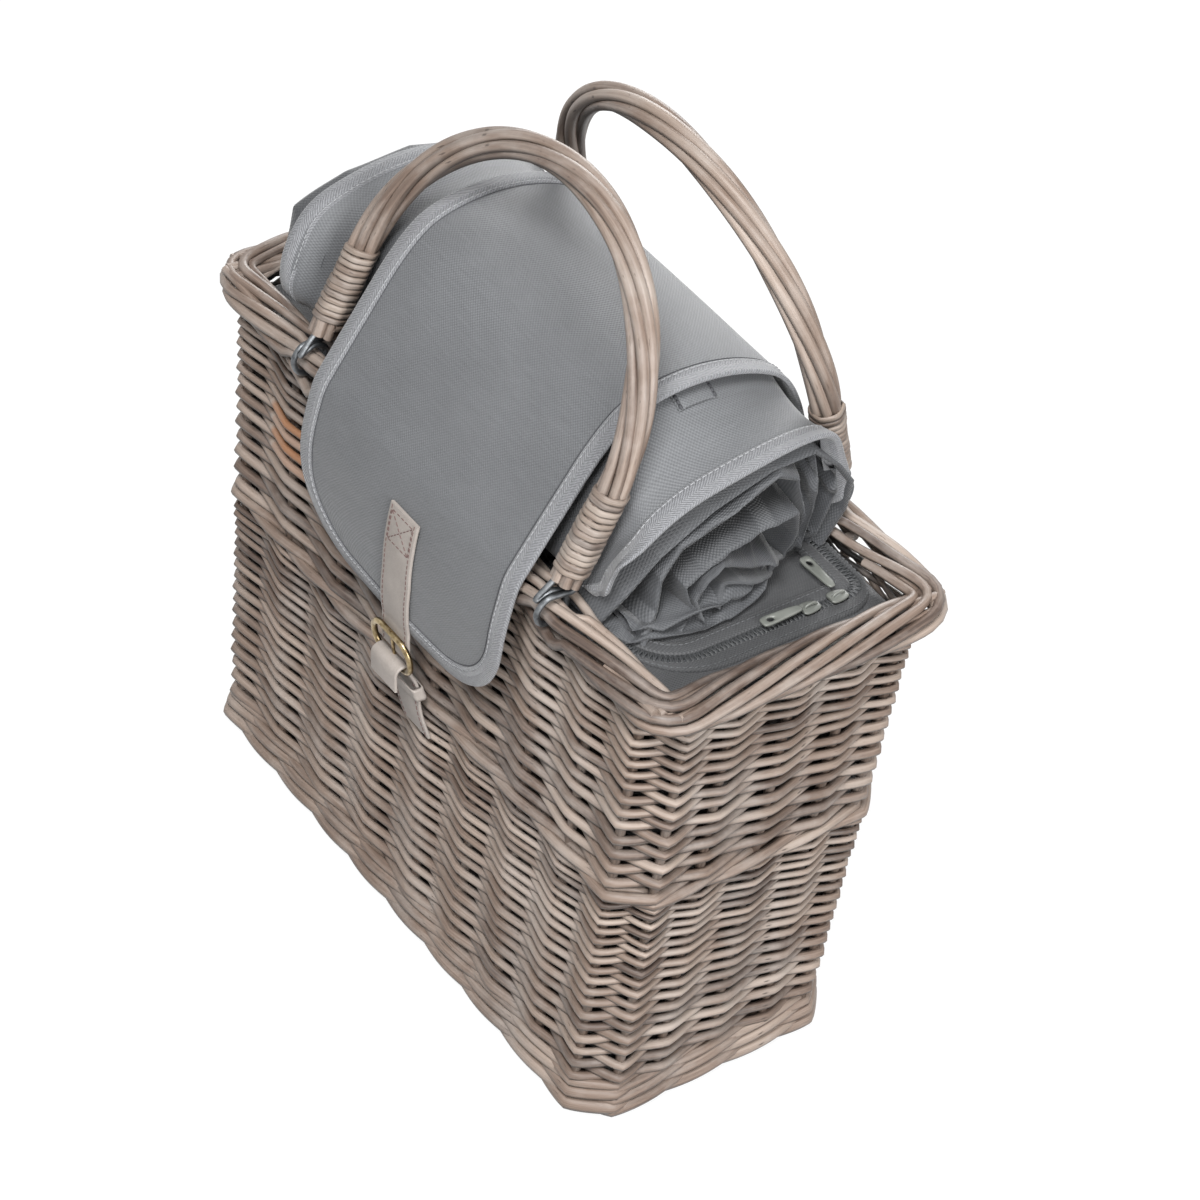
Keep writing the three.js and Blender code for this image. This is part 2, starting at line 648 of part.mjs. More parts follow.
function legDent(p, angle) {
  const across = Math.abs(p.x);
  const past = Math.max(0, across - HOOP_HALF_SPAN);
  const spread = Math.max(LEG_PRESS_REACH - legClear, 1);
  const fade = THREE.MathUtils.smoothstep((LEG_PRESS_REACH - past) / spread, 0, 1);
  const near = THREE.MathUtils.smoothstep(across, BETWEEN_LEGS, HOOP_HALF_SPAN - legClear);
  const press = fade * THREE.MathUtils.lerp(FREE_PRESS, 1, near);
  const rise = swell(p.x) * Math.max(0, Math.sin(angle));
  const skinY = ROLL_Y + ROLL_HALF_WIDE * Math.cos(angle);
  const skinZ = rollZ + ROLL_HALF_HIGH * Math.sin(angle) + rise;
  p.z += rise;
  for (const [side, lean] of [[-1, FRONT_LEAN], [1, REAR_LEAN]]) {
    const c = Math.cos(THREE.MathUtils.degToRad(lean));
    const s = Math.sin(THREE.MathUtils.degToRad(lean));
    const depth = (axisY - side * skinY) * c - (skinZ - axisZ) * s;
    const push = press * Math.max(0, legClear - depth);
    p.y -= side * push * c;
    p.z -= push * s;
  }
}

function rollLayer(inset, first, last) {
  const wide = ROLL_HALF_WIDE - inset;
  const high = ROLL_HALF_HIGH - inset;
  const shape = polygon(Array.from({ length: ROLL_SIDES }, (_, i) => {
    const angle = (2 * Math.PI * i) / ROLL_SIDES;
    return [ROLL_Y + wide * Math.cos(angle), rollZ + high * Math.sin(angle)];
  }));
  const x0 = rollLeft + first * rollStep;
  const x1 = rollLeft + last * rollStep;
  const geometry = alongX(shape, x0, x1, last - first);
  return solid(movePoints(geometry, (p) => {
    legDent(p, Math.atan2((p.z - rollZ) / high, (p.y - ROLL_Y) / wide));
  }));
}

const wrapOuter = rollLayer(0, 0, ROLL_STEPS).intersect(lidFace);
const wrapInner = rollLayer(WRAP_THICK, -2, ROLL_STEPS + 2)
  .intersect(box(-FAR, FAR, -FAR, FAR, lidTop + GAP + WRAP_THICK, FAR));
piece('blanket_wrap', wrapOuter.subtract(wrapInner), canvas);

// The spiral of rolled layers in the right end of the blanket
function spiralCut() {
  const room = ROLL_HALF_HIGH - WRAP_THICK - COIL_WIDE - ROLL_FLAT;
  const pitch = room / (COIL_TURNS + 1);
  const stretch = ROLL_HALF_WIDE / ROLL_HALF_HIGH;
  const count = Math.round(COIL_TURNS * COIL_STEPS);
  const line = Array.from({ length: count + 1 }, (_, i) => {
    const turn = i / COIL_STEPS;
    const r = pitch * (turn + 0.5);
    const angle = 2 * Math.PI * turn;
    return [ROLL_Y + r * stretch * Math.cos(angle), rollZ + r * Math.sin(angle)];
  });
  const end = rollLeft + (ROLL_STEPS - BLANKET_IN_STEPS) * rollStep;
  return solid(alongX(stripOutline(line, COIL_WIDE), end - COIL_DEEP, end + 1));
}

const blanket = rollLayer(WRAP_THICK + GAP, -BLANKET_OUT_STEPS, ROLL_STEPS - BLANKET_IN_STEPS)
  .intersect(box(-FAR, FAR, -FAR, FAR, lidTop + GAP + WRAP_THICK + GAP, FAR));
piece('blanket_roll', blanket.subtract(spiralCut()), canvasDark);

// Flap over the roll, from behind it down to the front border's outer rod
const coverY = ROLL_HALF_WIDE + GAP;
const coverZ = ROLL_HALF_HIGH + GAP;
const rodY = -rimY + RIM_ROD_R;
const rodZ = RIM_TOP - RIM_ROD_R;
const touchAngle = THREE.MathUtils.degToRad(FLAP_TOUCH_ANGLE);
const edgeAngle = THREE.MathUtils.degToRad(FLAP_EDGE_ANGLE);

function overRoll(side, x) {
  const angle = (2 * Math.PI * side) / ROLL_SIDES;
  const p = new THREE.Vector3(x, ROLL_Y + coverY * Math.cos(angle), rollZ + coverZ * Math.sin(angle));
  legDent(p, angle);
  return [p.y, p.z];
}

const flapLine = [];
for (let side = FLAP_REAR_SIDE; side <= FLAP_LEAVE_SIDE; side += 1) {
  flapLine.push(overRoll(side, 0));
}
const bendSteps = 2;
const bendR = RIM_ROD_R + GAP;
for (let i = 0; i <= bendSteps; i += 1) {
  const angle = THREE.MathUtils.lerp(touchAngle, edgeAngle, i / bendSteps);
  flapLine.push([rodY + bendR * Math.cos(angle), rodZ + bendR * Math.sin(angle)]);
}
const flapStrip = stripOutline(flapLine, FLAP_THICK);
piece('flap_cover', solid(alongX(flapStrip, -FLAP_HALF_WIDE, FLAP_HALF_WIDE)), canvas);

// Stitched webbing tabs on the wrap, just past the flap's edges
function wrapTab(x) {
  const top = Math.round(ROLL_SIDES / 4);
  const ridge = overRoll(top, FAR);
  const line = [overRoll(top - 1, FAR), ridge, overRoll(top + 1, FAR)].map(([y, z]) => {
    const run = Math.hypot(y - ridge[0], z - ridge[1]);
    const share = run > 0 ? TAB_LONG / 2 / run : 0;
    return [ridge[0] + (y - ridge[0]) * share, ridge[1] + (z - ridge[1]) * share];
  });
  const tab = alongX(stripOutline(line, TAB_THICK), x - TAB_WIDE / 2, x + TAB_WIDE / 2, TAB_STEPS);
  return solid(movePoints(tab, (p) => {
    p.z += swell(p.x) + GAP;
  }));
}

const tabX = FLAP_HALF_WIDE + GAP + TAB_WIDE / 2;
piece('wrap_tab_left', wrapTab(-tabX), canvasDark);
piece('wrap_tab_right', wrapTab(tabX), canvasDark);

// Tongue of the flap, hanging from the border's outer rod and swelling a little
const tongueBack = rodY - RIM_ROD_R - GAP;
const tongueTop = rodZ;
const tongueEnd = tongueTop - TONGUE_LONG;
const tongueSteps = 10;
const tongueLine = Array.from({ length: tongueSteps + 1 }, (_, i) => {
  const down = i / tongueSteps;
  return [tongueBack - TONGUE_BULGE * Math.sin(Math.PI * down), tongueTop - TONGUE_LONG * down];
});

function tongueOutline() {
  const shape = new THREE.Shape();
  const w = FLAP_HALF_WIDE;
  const r = TONGUE_CORNER_R;
  shape.moveTo(-w, tongueTop + 1);
  shape.lineTo(-w, tongueEnd + r);
  shape.absarc(-w + r, tongueEnd + r, r, Math.PI, 1.5 * Math.PI, false);
  shape.lineTo(w - r, tongueEnd);
  shape.absarc(w - r, tongueEnd + r, r, 1.5 * Math.PI, 2 * Math.PI, false);
  shape.lineTo(w, tongueTop + 1);
  shape.closePath();
  return shape;
}

const tongueStrip = stripOutline(tongueLine, FLAP_THICK);
const tongueSheet = solid(alongX(tongueStrip, -FLAP_HALF_WIDE, FLAP_HALF_WIDE));
const tongueFront = tongueBack - FLAP_THICK - TONGUE_BULGE - 1;
const tongueCut = solid(alongY(tongueOutline(), tongueFront, tongueBack + 1));
piece('flap_tongue', tongueSheet.intersect(tongueCut), canvas);

// Leather strap on the tongue, down to the buckle
const strapX0 = STRAP_X - STRAP_WIDE / 2;
const strapX1 = STRAP_X + STRAP_WIDE / 2;
const strapTop = RIM_TOP - STRAP_TOP_DROP;
const buckleTop = tongueEnd - BUCKLE_DROP;
const buckleEnd = buckleTop - BUCKLE_HIGH;
const barZ = buckleEnd + BUCKLE_BAR / 2;
const barR = Math.hypot(BUCKLE_BAR, BUCKLE_THICK) / 2;
const loopR = barR + RUN_FIT;
const strapEnd = barZ + loopR + STRAP_THICK + RUN_FIT;
const strapFace = offsetLine(tongueLine, FLAP_THICK + GAP).filter((p) => p[1] < strapTop);
strapFace.push([strapFace.at(-1)[0], strapEnd]);
piece('strap_upper', solid(alongX(stripOutline(strapFace, STRAP_THICK), strapX0, strapX1)), leather);

// Buckle frame on the strap's face, with its prong on the lower bar
const buckleBack = strapFace.at(-1)[0] - STRAP_THICK - GAP;
const buckleFront = buckleBack - BUCKLE_THICK;
const barY = buckleBack - BUCKLE_THICK / 2;

function roundedRect(w, h, r) {
  const shape = new THREE.Shape();
  shape.moveTo(-w + r, -h);
  shape.lineTo(w - r, -h);
  shape.absarc(w - r, -h + r, r, -Math.PI / 2, 0, false);
  shape.lineTo(w, h - r);
  shape.absarc(w - r, h - r, r, 0, Math.PI / 2, false);
  shape.lineTo(-w + r, h);
  shape.absarc(-w + r, h - r, r, Math.PI / 2, Math.PI, false);
  shape.lineTo(-w, -h + r);
  shape.absarc(-w + r, -h + r, r, Math.PI, 1.5 * Math.PI, false);
  shape.closePath();
  return shape;
}

const frameOuter = roundedRect(BUCKLE_WIDE / 2, BUCKLE_HIGH / 2, BUCKLE_CORNER);
const frameInner = roundedRect(
  BUCKLE_WIDE / 2 - BUCKLE_BAR, BUCKLE_HIGH / 2 - BUCKLE_BAR, BUCKLE_CORNER - BUCKLE_BAR);
const frameAt = [STRAP_X, 0, (buckleTop + buckleEnd) / 2];
const buckle = solid(alongY(frameOuter, buckleFront, buckleBack))
  .subtract(solid(alongY(frameInner, buckleFront - 1, buckleBack + 1)));
piece('buckle_frame', buckle.translate(frameAt), brass);

const eyeR = barR + GAP + PRONG_R;
const prongLong = BUCKLE_HIGH - BUCKLE_BAR / 2;
const prong = new THREE.CylinderGeometry(PRONG_R, PRONG_R, prongLong, 8).rotateX(Math.PI / 2);
prong.translate(STRAP_X, barY - eyeR, barZ + prongLong / 2);
const prongEye = new THREE.TorusGeometry(eyeR, PRONG_R, 8, 16).rotateY(Math.PI / 2);
prongEye.translate(STRAP_X, barY, barZ);
piece('buckle_prong', solid(prong).add(solid(prongEye)), brass);

// Tail of the strap: a slotted loop over the buckle's lower bar, then down to the wall
const tailEnd = barZ - STRAP_TAIL;
const overWale = -halfWidth(wale1) - GAP - WALE_PROUD - RUN_FIT - STRAP_THICK;
const onWall = -halfWidth(tailEnd) - RUN_FIT - STRAP_THICK;
const loopSteps = 8;
const tailLine = [[barY - loopR, barZ - STRAP_TURN_BACK]];
for (let i = 0; i <= loopSteps; i += 1) {
  const angle = Math.PI * (1 - i / loopSteps);
  tailLine.push([barY + loopR * Math.cos(angle), barZ + loopR * Math.sin(angle)]);
}
const kinkZ = Math.min(wale1, barZ - KEEPER_DROP - KEEPER_HIGH - RUN_FIT);
const leaveZ = Math.min(wale0, kinkZ - STRAP_THICK);
const tailRun = [tailLine.at(-1), [overWale, kinkZ]];
tailLine.push(tailRun[1], [overWale, leaveZ], [onWall, tailEnd]);
const slant = Math.tan(THREE.MathUtils.degToRad(STRAP_SLANT));

function slanted(geometry) {
  return solid(movePoints(geometry, (p) => {
    p.x += slant * Math.max(0, barZ - p.z);
  }));
}

const slotHalf = PRONG_R + RUN_FIT;
const slotR = eyeR + PRONG_R + RUN_FIT;
const slotEnd = barZ - STRAP_TURN_BACK + STRAP_THICK;
const eyeSlot = box(
  STRAP_X - slotHalf, STRAP_X + slotHalf, barY - FAR, barY + slotR, barZ - slotR, barZ + FAR);
const prongSlot = box(STRAP_X - slotHalf, STRAP_X + slotHalf, barY - FAR, barY, slotEnd, barZ);
const tail = slanted(alongX(stripOutline(tailLine, -STRAP_THICK), strapX0, strapX1));
piece('strap_tail', tail.subtract(eyeSlot).subtract(prongSlot), leather);

// Keeper loop round the tail
const runLong = Math.hypot(tailRun[1][0] - tailRun[0][0], tailRun[1][1] - tailRun[0][1]);
const keeperLine = [KEEPER_DROP, KEEPER_DROP + KEEPER_HIGH].map((at) => [
  tailRun[0][0] + ((tailRun[1][0] - tailRun[0][0]) * at) / runLong,
  tailRun[0][1] + ((tailRun[1][1] - tailRun[0][1]) * at) / runLong]);

function longer([a, b], by) {
  const size = Math.hypot(b[0] - a[0], b[1] - a[1]);
  const step = [((b[0] - a[0]) * by) / size, ((b[1] - a[1]) * by) / size];
  return [[a[0] - step[0], a[1] - step[1]], [b[0] + step[0], b[1] + step[1]]];
}

function keeperBlock(line, grow) {
  const outline = stripOutline(offsetLine(line, grow), -STRAP_THICK - 2 * grow);
  return slanted(alongX(outline, strapX0 - grow, strapX1 + grow));
}

const keeperOuter = keeperBlock(keeperLine, GAP + KEEPER_THICK);
piece('strap_keeper', keeperOuter.subtract(keeperBlock(longer(keeperLine, 1), GAP)), leather);

export default group;
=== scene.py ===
# Looks of the willow chiller basket: woven walls, plaited border, bound hoops, canvas roll and flap.
# Lengths are millimetres until Shape.make turns them into metres. X runs along the basket, the flap
# hangs on the front towards -Y, and +Z is up.

import json
import math

import bpy
import numpy as np
from mathutils import Matrix, Vector


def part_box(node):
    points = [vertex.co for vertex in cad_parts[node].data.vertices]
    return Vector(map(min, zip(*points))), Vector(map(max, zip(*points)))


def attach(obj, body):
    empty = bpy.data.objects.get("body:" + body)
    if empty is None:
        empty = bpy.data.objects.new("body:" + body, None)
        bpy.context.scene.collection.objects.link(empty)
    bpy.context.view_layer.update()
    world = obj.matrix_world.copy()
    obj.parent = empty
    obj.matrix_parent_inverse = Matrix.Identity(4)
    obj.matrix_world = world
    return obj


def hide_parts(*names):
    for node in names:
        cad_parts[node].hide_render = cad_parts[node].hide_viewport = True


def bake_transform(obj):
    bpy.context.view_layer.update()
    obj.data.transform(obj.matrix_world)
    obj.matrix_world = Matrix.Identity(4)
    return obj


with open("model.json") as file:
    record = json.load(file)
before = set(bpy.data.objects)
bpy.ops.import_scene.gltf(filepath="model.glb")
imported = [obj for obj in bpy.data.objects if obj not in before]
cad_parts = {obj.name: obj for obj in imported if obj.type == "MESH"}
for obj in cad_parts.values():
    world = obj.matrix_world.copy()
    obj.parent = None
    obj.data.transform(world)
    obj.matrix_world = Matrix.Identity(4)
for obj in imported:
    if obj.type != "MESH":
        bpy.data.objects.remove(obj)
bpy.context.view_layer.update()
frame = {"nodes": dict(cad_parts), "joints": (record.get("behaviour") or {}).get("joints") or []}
MM = 0.001
RANDOM = np.random.default_rng(11)

# Weave
FOOT_HALVES = np.array([180.5, 79.5])      # half length and half width of the walls at the foot
TOP_HALVES = np.array([192.0, 84.0])       # and at the top
WALL_TOP = 287
FRONT_STAKES = (-118, -72, -29, 13, 53, 90, 128)
END_STAKES = (-34, 0, 34)
CORNER_CUT = 15                # corner stakes stand this far from the corner, along both walls
STAKES = 2 * (len(FRONT_STAKES) + len(END_STAKES) + 4)
STAKE_R = 2.6
BAY_STEPS = 9
BAY_EASE = 0.35                # share of a bay in which the outward direction turns at a stake
WEAVE_ROUND = 0.985            # under 1 rounds the rods' turns at the stakes
ROD_SIDES = 8
ROD_SHARE = 1.02               # rod's diameter as a share of its course's height
NEW_ROD = 0.4                  # share of the stakes where a course goes on with a new rod
WEAVE_DEPTH = 12.8             # from the outermost to the innermost skin of the rods
WEAVE_PROUD = 1.4              # how far they stand out of the solids
LOWER_FIRST, LOWER_LAST = 5.3, 2.9
UPPER_FIRST, UPPER_LAST = 5.5, 2.9
FOOT_TOP = 20
MID_Z = 163
NATURAL_LOW, NATURAL_HIGH = (-141, 213), (-104, 243)       # a patch of unwashed willow on the front wall
WALE_ROUNDS = 9                # turns of a wale's rods on their way round the basket
FOOT_WALES = (                 # height, rod's radius, inset from the wall, rise and swing
    (5.6, 3.9, 2.6, 1.5, 3.2), (13.4, 3.3, 3.4, 2.6, 3.2), (18.8, 2.6, 4.4, 1.8, 2.8),
)
MID_WALE = (MID_Z + 0.5, 2.9, 3.6, 2.2, 3.4)
SIDES = ("front", "rear", "left", "right")
BASE_STICKS, BASE_STICK_R = 13, 2.6
BASE_PITCH, BASE_ROD_R = 5.2, 2.5
BASE_SWING = 3.2               # how far the base's rods go over and under its sticks

# Border
BORDER_ROD_R = 2.7
BORDER_RODS = 30
BORDER_BAYS = 5.2              # how many rods lie beside each other
BORDER_STEPS = 44
BORDER_CORNER = 10
CORNER_END = 38                # length of the cut ends that cross at the corners
CORNER_ENDS = (                # axis along which each lies, distance from the outer edge and from the corner
    (0, 4, 13), (1, 3, 15), (0, 11, 9), (1, 10, 8), (1, 17, 6),
)
PART_REACH, PART_EASE = 17, 7  # how far along its rods the border parts for a wire ring, and how gently
PART_FAR = 25                  # rods further from the ring's middle stay as they are

# Handles
HOOP_RISE = 172
HOOP_LEG = 62
HOOP_FOOT = 15                 # rods' cut ends above the hinge axis
FRONT_LEAN, REAR_LEAN = 23.6, 16.5
HANDLE_RODS = 6
HANDLE_ROD_R = 2.95
HANDLE_ORBIT = 5.2
HANDLE_TWISTS = 1.4
HANDLE_STEPS = 120
CANE_THICK = 0.8
CANE_TURNS = 12.6
CANE_START, CANE_END = 22, 66
RING_R, RING_WIRE_R = 9.2, 1.6

# Roll
ROLL_Y = -2
ROLL_HALF_WIDE, ROLL_HALF_HIGH = 79, 43
ROLL_FLAT = 2
ROLL_SWELL = 16                # how far the roll stands higher between the handles' legs
BETWEEN_LEGS = 60
FREE_PRESS = 0.55              # share of a handle's press that reaches the roll there
LEG_CLEAR = 11.6               # roll's skin from a handle's plane
LEG_REACH = 34                 # how far past a handle's leg the roll swells out again
PRESS_SOFT = 5
SKEW_RIGHT, SKEW_LEFT = 0.27, -0.10        # how the ends lean over, towards the rear and the front
TAPE_WIDE = 10
CLOTH = 1.3                    # canvas thickness
LIP_DEEP = 36                  # how far the creases behind the blanket's lips go back into the roll
FOLD_BACK = 30                 # and how far its outer layer does
BLANKET_LIPS = (               # corners of the layers' lips at the right end, from the front to the rear
    ((121, -72, 296), (126, -60, 313), (128, -43, 332), (128, -14, 349), (128, 20, 361), (129, 44, 362),
     (128, 63, 345), (127, 73, 332), (126, 73, 314), (124, 64, 292)),
    ((140, -56, 291), (133, -46, 303), (131, -44, 320), (130, -33, 335), (131, -9, 345), (131, 20, 360),
     (132, 31, 354), (133, 38, 329), (127, 42, 308), (123, 40, 292)),
    ((142, -36, 291), (137, -27, 298), (135, -31, 313), (135, -6, 326), (134, 17, 331), (134, 34, 333),
     (130, 39, 315), (125, 36, 294)),
    ((143, -24, 296), (138, -26, 304), (138, -21, 315), (137, -12, 321), (138, 5, 313), (136, 22, 307),
     (128, 36, 299)),
    ((141, -14, 298), (139, -10, 308), (138, 2, 305), (137, 14, 301), (132, 26, 297)),
)
LOOSE_FOLDS = (                # folds of its own: two upright ones at the rear, and two that lie on the lid
    ((126, 44, 360), (128, 48, 342), (126, 51, 318), (121, 52, 293)),
    ((126, 60, 344), (126, 64, 326), (123, 60, 304), (120, 58, 292)),
    ((131, -68, 295), (139, -58, 293), (144, -32, 292), (145, -8, 292), (139, 16, 296), (129, 30, 298)),
    ((134, -60, 299), (141, -46, 297), (142, -18, 301), (140, 6, 300), (131, 22, 300)),
)
LIP_POINTS = 181
FOLD_ROWS = 23
BULGE_CORNERS = (18, 52, 88, 121, 152, 184, 222, 270, 318)
BULGE_ROWS = (                 # x from the wrap's left end, share of the roll's section, of its facets
    (16, 0.88, 0), (4, 0.92, 0.1), (-4, 0.965, 0.6), (-10, 0.955, 1), (-12.5, 0.92, 1), (-13.5, 0.86, 1),
    (-12, 0.74, 1), (-8, 0.6, 1), (-6, 0.42, 1), (-7, 0.22, 1), (-6, 0.01, 1),
)

# Flap
FLAP_HALF_WIDE = 88
FLAP_LIFT = 2.0                # middle of the cloth above the roll's skin
FLAP_LEAVE = 150               # degrees on the roll where the flap leaves for the border
FLAP_TOUCH = 147               # degrees on the border's outer rod where it arrives
RIM_ROD_R = 5
TONGUE_LONG = 85
TONGUE_CORNER = 50
TONGUE_BULGE = 5

# Strap
STRAP_X, STRAP_HALF = 3, 12
STRAP_THICK = 2
STRAP_TOP = 286
TAIL_SLOPE = math.tan(math.radians(10))    # how far the tail drifts sideways on its way down
BUCKLE_TILT = 2                # how far the frame's top leans out
BUCKLE_ROD_R = 1.9
PRONG_EYE = 3.5
TAIL_FOLD = 3.8                # radius of the strap's fold over the buckle's bar
TAIL_STEPS, TAIL_SEAM = 90, 41             # steps along the tail, and the one where its seams start
KEEPER_HALF, KEEPER_SKIN = 3.6, 0.7        # half its width, and half its thickness
KEEPER_LEAN = 0.32
SEAM_PITCH = 3.4               # stitches on straps and bindings
THREAD_R, STRAP_THREAD_R = 0.32, 0.28

# Bag and zip
BAG_CORNER = 7.0
BAG_LAYERS = (                 # name, thickness and fill
    ("shell", 2.2, 0.3), ("foam", 5.6, 0.9), ("lining", 1.3, 0.2),
)
ZIP_BENDS = 30, 9              # radius at the front and at the rear
ZIP_EDGE = 4.6                 # room between the zip's arms and the lid's edge
TOOTH_PITCH = 1.25
ZIP_HEM = ((2.6, 0.4), (2.8, 1.3), (4.0, 1.7), (9.5, 1.5), (11.2, 0.9), (11.6, 0.1))      # spread and height
ZIP_SEAM = 8.8                 # spread of the stitches on both hems
PULL_SECTION = (               # share of the way from the pull's hole to its outline, and height
    (0, -0.55), (0, 0.55), (0.12, 0.7), (0.88, 0.7), (0.98, 0.45), (1, 0),
    (0.98, -0.45), (0.88, -0.7), (0.12, -0.7),
)

# Light and camera
SKY_LIGHT = 0.13
FLOOR_BOUNCE, FLOOR_SEEN, FLOOR_GLOW = 0.32, 0.15, 0.88
LAMP_TARGET = (0, 0, 0.25)     # metres
LAMPS = (                      # name, place in metres, size and power
    ("key", (0.70, -1.10, 2.40), 0.9, 64), ("fill", (1.95, -0.55, 1.10), 1.0, 44),
    ("back", (-1.70, 1.80, 1.20), 1.2, 55),
)
CAMERA_AZIMUTH, CAMERA_ELEVATION, CAMERA_ROLL = 48.7, 41.4, 8.6
CAMERA_DISTANCE = 1934.7
CAMERA_TARGET = (18.3, 19.7, 191.1)
CAMERA_LENS, CAMERA_SENSOR = 113.24, 36


def lerp(a, b, t):
    return a + (b - a) * t


def smooth(t):
    t = np.clip(t, 0, 1)
    return t * t * (3 - 2 * t)


def unit(vectors):
    return vectors / np.maximum(np.linalg.norm(vectors, axis=-1, keepdims=True), 1e-9)


def waves(x, y, seed, count=6):
    """Soft noise from -1 to 1: a few sine waves in seeded directions, about one unit long."""
    random = np.random.default_rng(seed)
    total = np.zeros(np.broadcast(x, y).shape)
    turns = random.uniform(0, math.tau, count)
    sizes = random.uniform(0.7, 1.6, count)
    shifts = random.uniform(0, math.tau, count)
    for turn, size, shift in zip(turns, sizes, shifts):
        total = total + np.sin(math.tau * size * (x * math.cos(turn) + y * math.sin(turn)) + shift)
    return total / count * 1.6


def folds(x, y, seed):
    """Creased noise from 0 to 1: sharp ridges with flat flanks, as stiff cloth folds."""
    bent = x + 0.35 * waves(x * 0.6, y * 0.6, seed + 1)
    ridge = np.abs(((bent + 0.3 * y) % 1) * 2 - 1)
    other = np.abs(((0.8 * y - 0.5 * bent + 0.37) % 1) * 2 - 1)
    return 0.6 * ridge + 0.4 * other


def run_of(line):
    """Length of a line of points up to each of them."""
    return np.concatenate([[0], np.cumsum(np.linalg.norm(np.diff(line, axis=0), axis=1))])


def sampled(at, run, line):
    """Points of a line at some lengths along it."""
    return np.stack([np.interp(at, run, column) for column in line.T], 1)


def spaced(line, count):
    """A line of points laid out again with even steps."""
    line = np.asarray(line, float)
    run = run_of(line)
    return sampled(np.linspace(0, run[-1], count), run, line)


def curve_through(points, steps):
    """A smooth line through a few points."""
    p = np.asarray(points, float)
    p = np.concatenate([[2 * p[0] - p[1]], p, [2 * p[-1] - p[-2]]])
    t = (np.arange(steps) / steps)[:, None]
    parts = []
    for a, b, c, d in zip(p, p[1:], p[2:], p[3:]):
        bend = (2 * a - 5 * b + 4 * c - d) * t**2 + (3 * b - a - 3 * c + d) * t**3
        parts.append(0.5 * (2 * b + (c - a) * t + bend))
    parts.append(p[-2:-1])
    return np.concatenate(parts)


def rounded_ring(half_length, half_width, radius, corner_steps=6, side_steps=16):
    """A rounded rectangle, anticlockwise, with points along its sides."""
    l, w, r = half_length - radius, half_width - radius, radius
    turn = np.linspace(0, math.pi / 2, corner_steps)
    points = []
    for cx, cy, start in ((l, w, 0), (-l, w, 1), (-l, -w, 2), (l, -w, 3)):
        a = turn + start * math.pi / 2
        points.append(np.stack([cx + r * np.cos(a), cy + r * np.sin(a)], 1))
    ring = []
    for here, there in zip(points, points[1:] + points[:1]):
        ring.extend(here)
        ring.extend(lerp(here[-1], there[0], t) for t in np.linspace(0, 1, side_steps + 1)[1:-1])
    return np.array(ring)


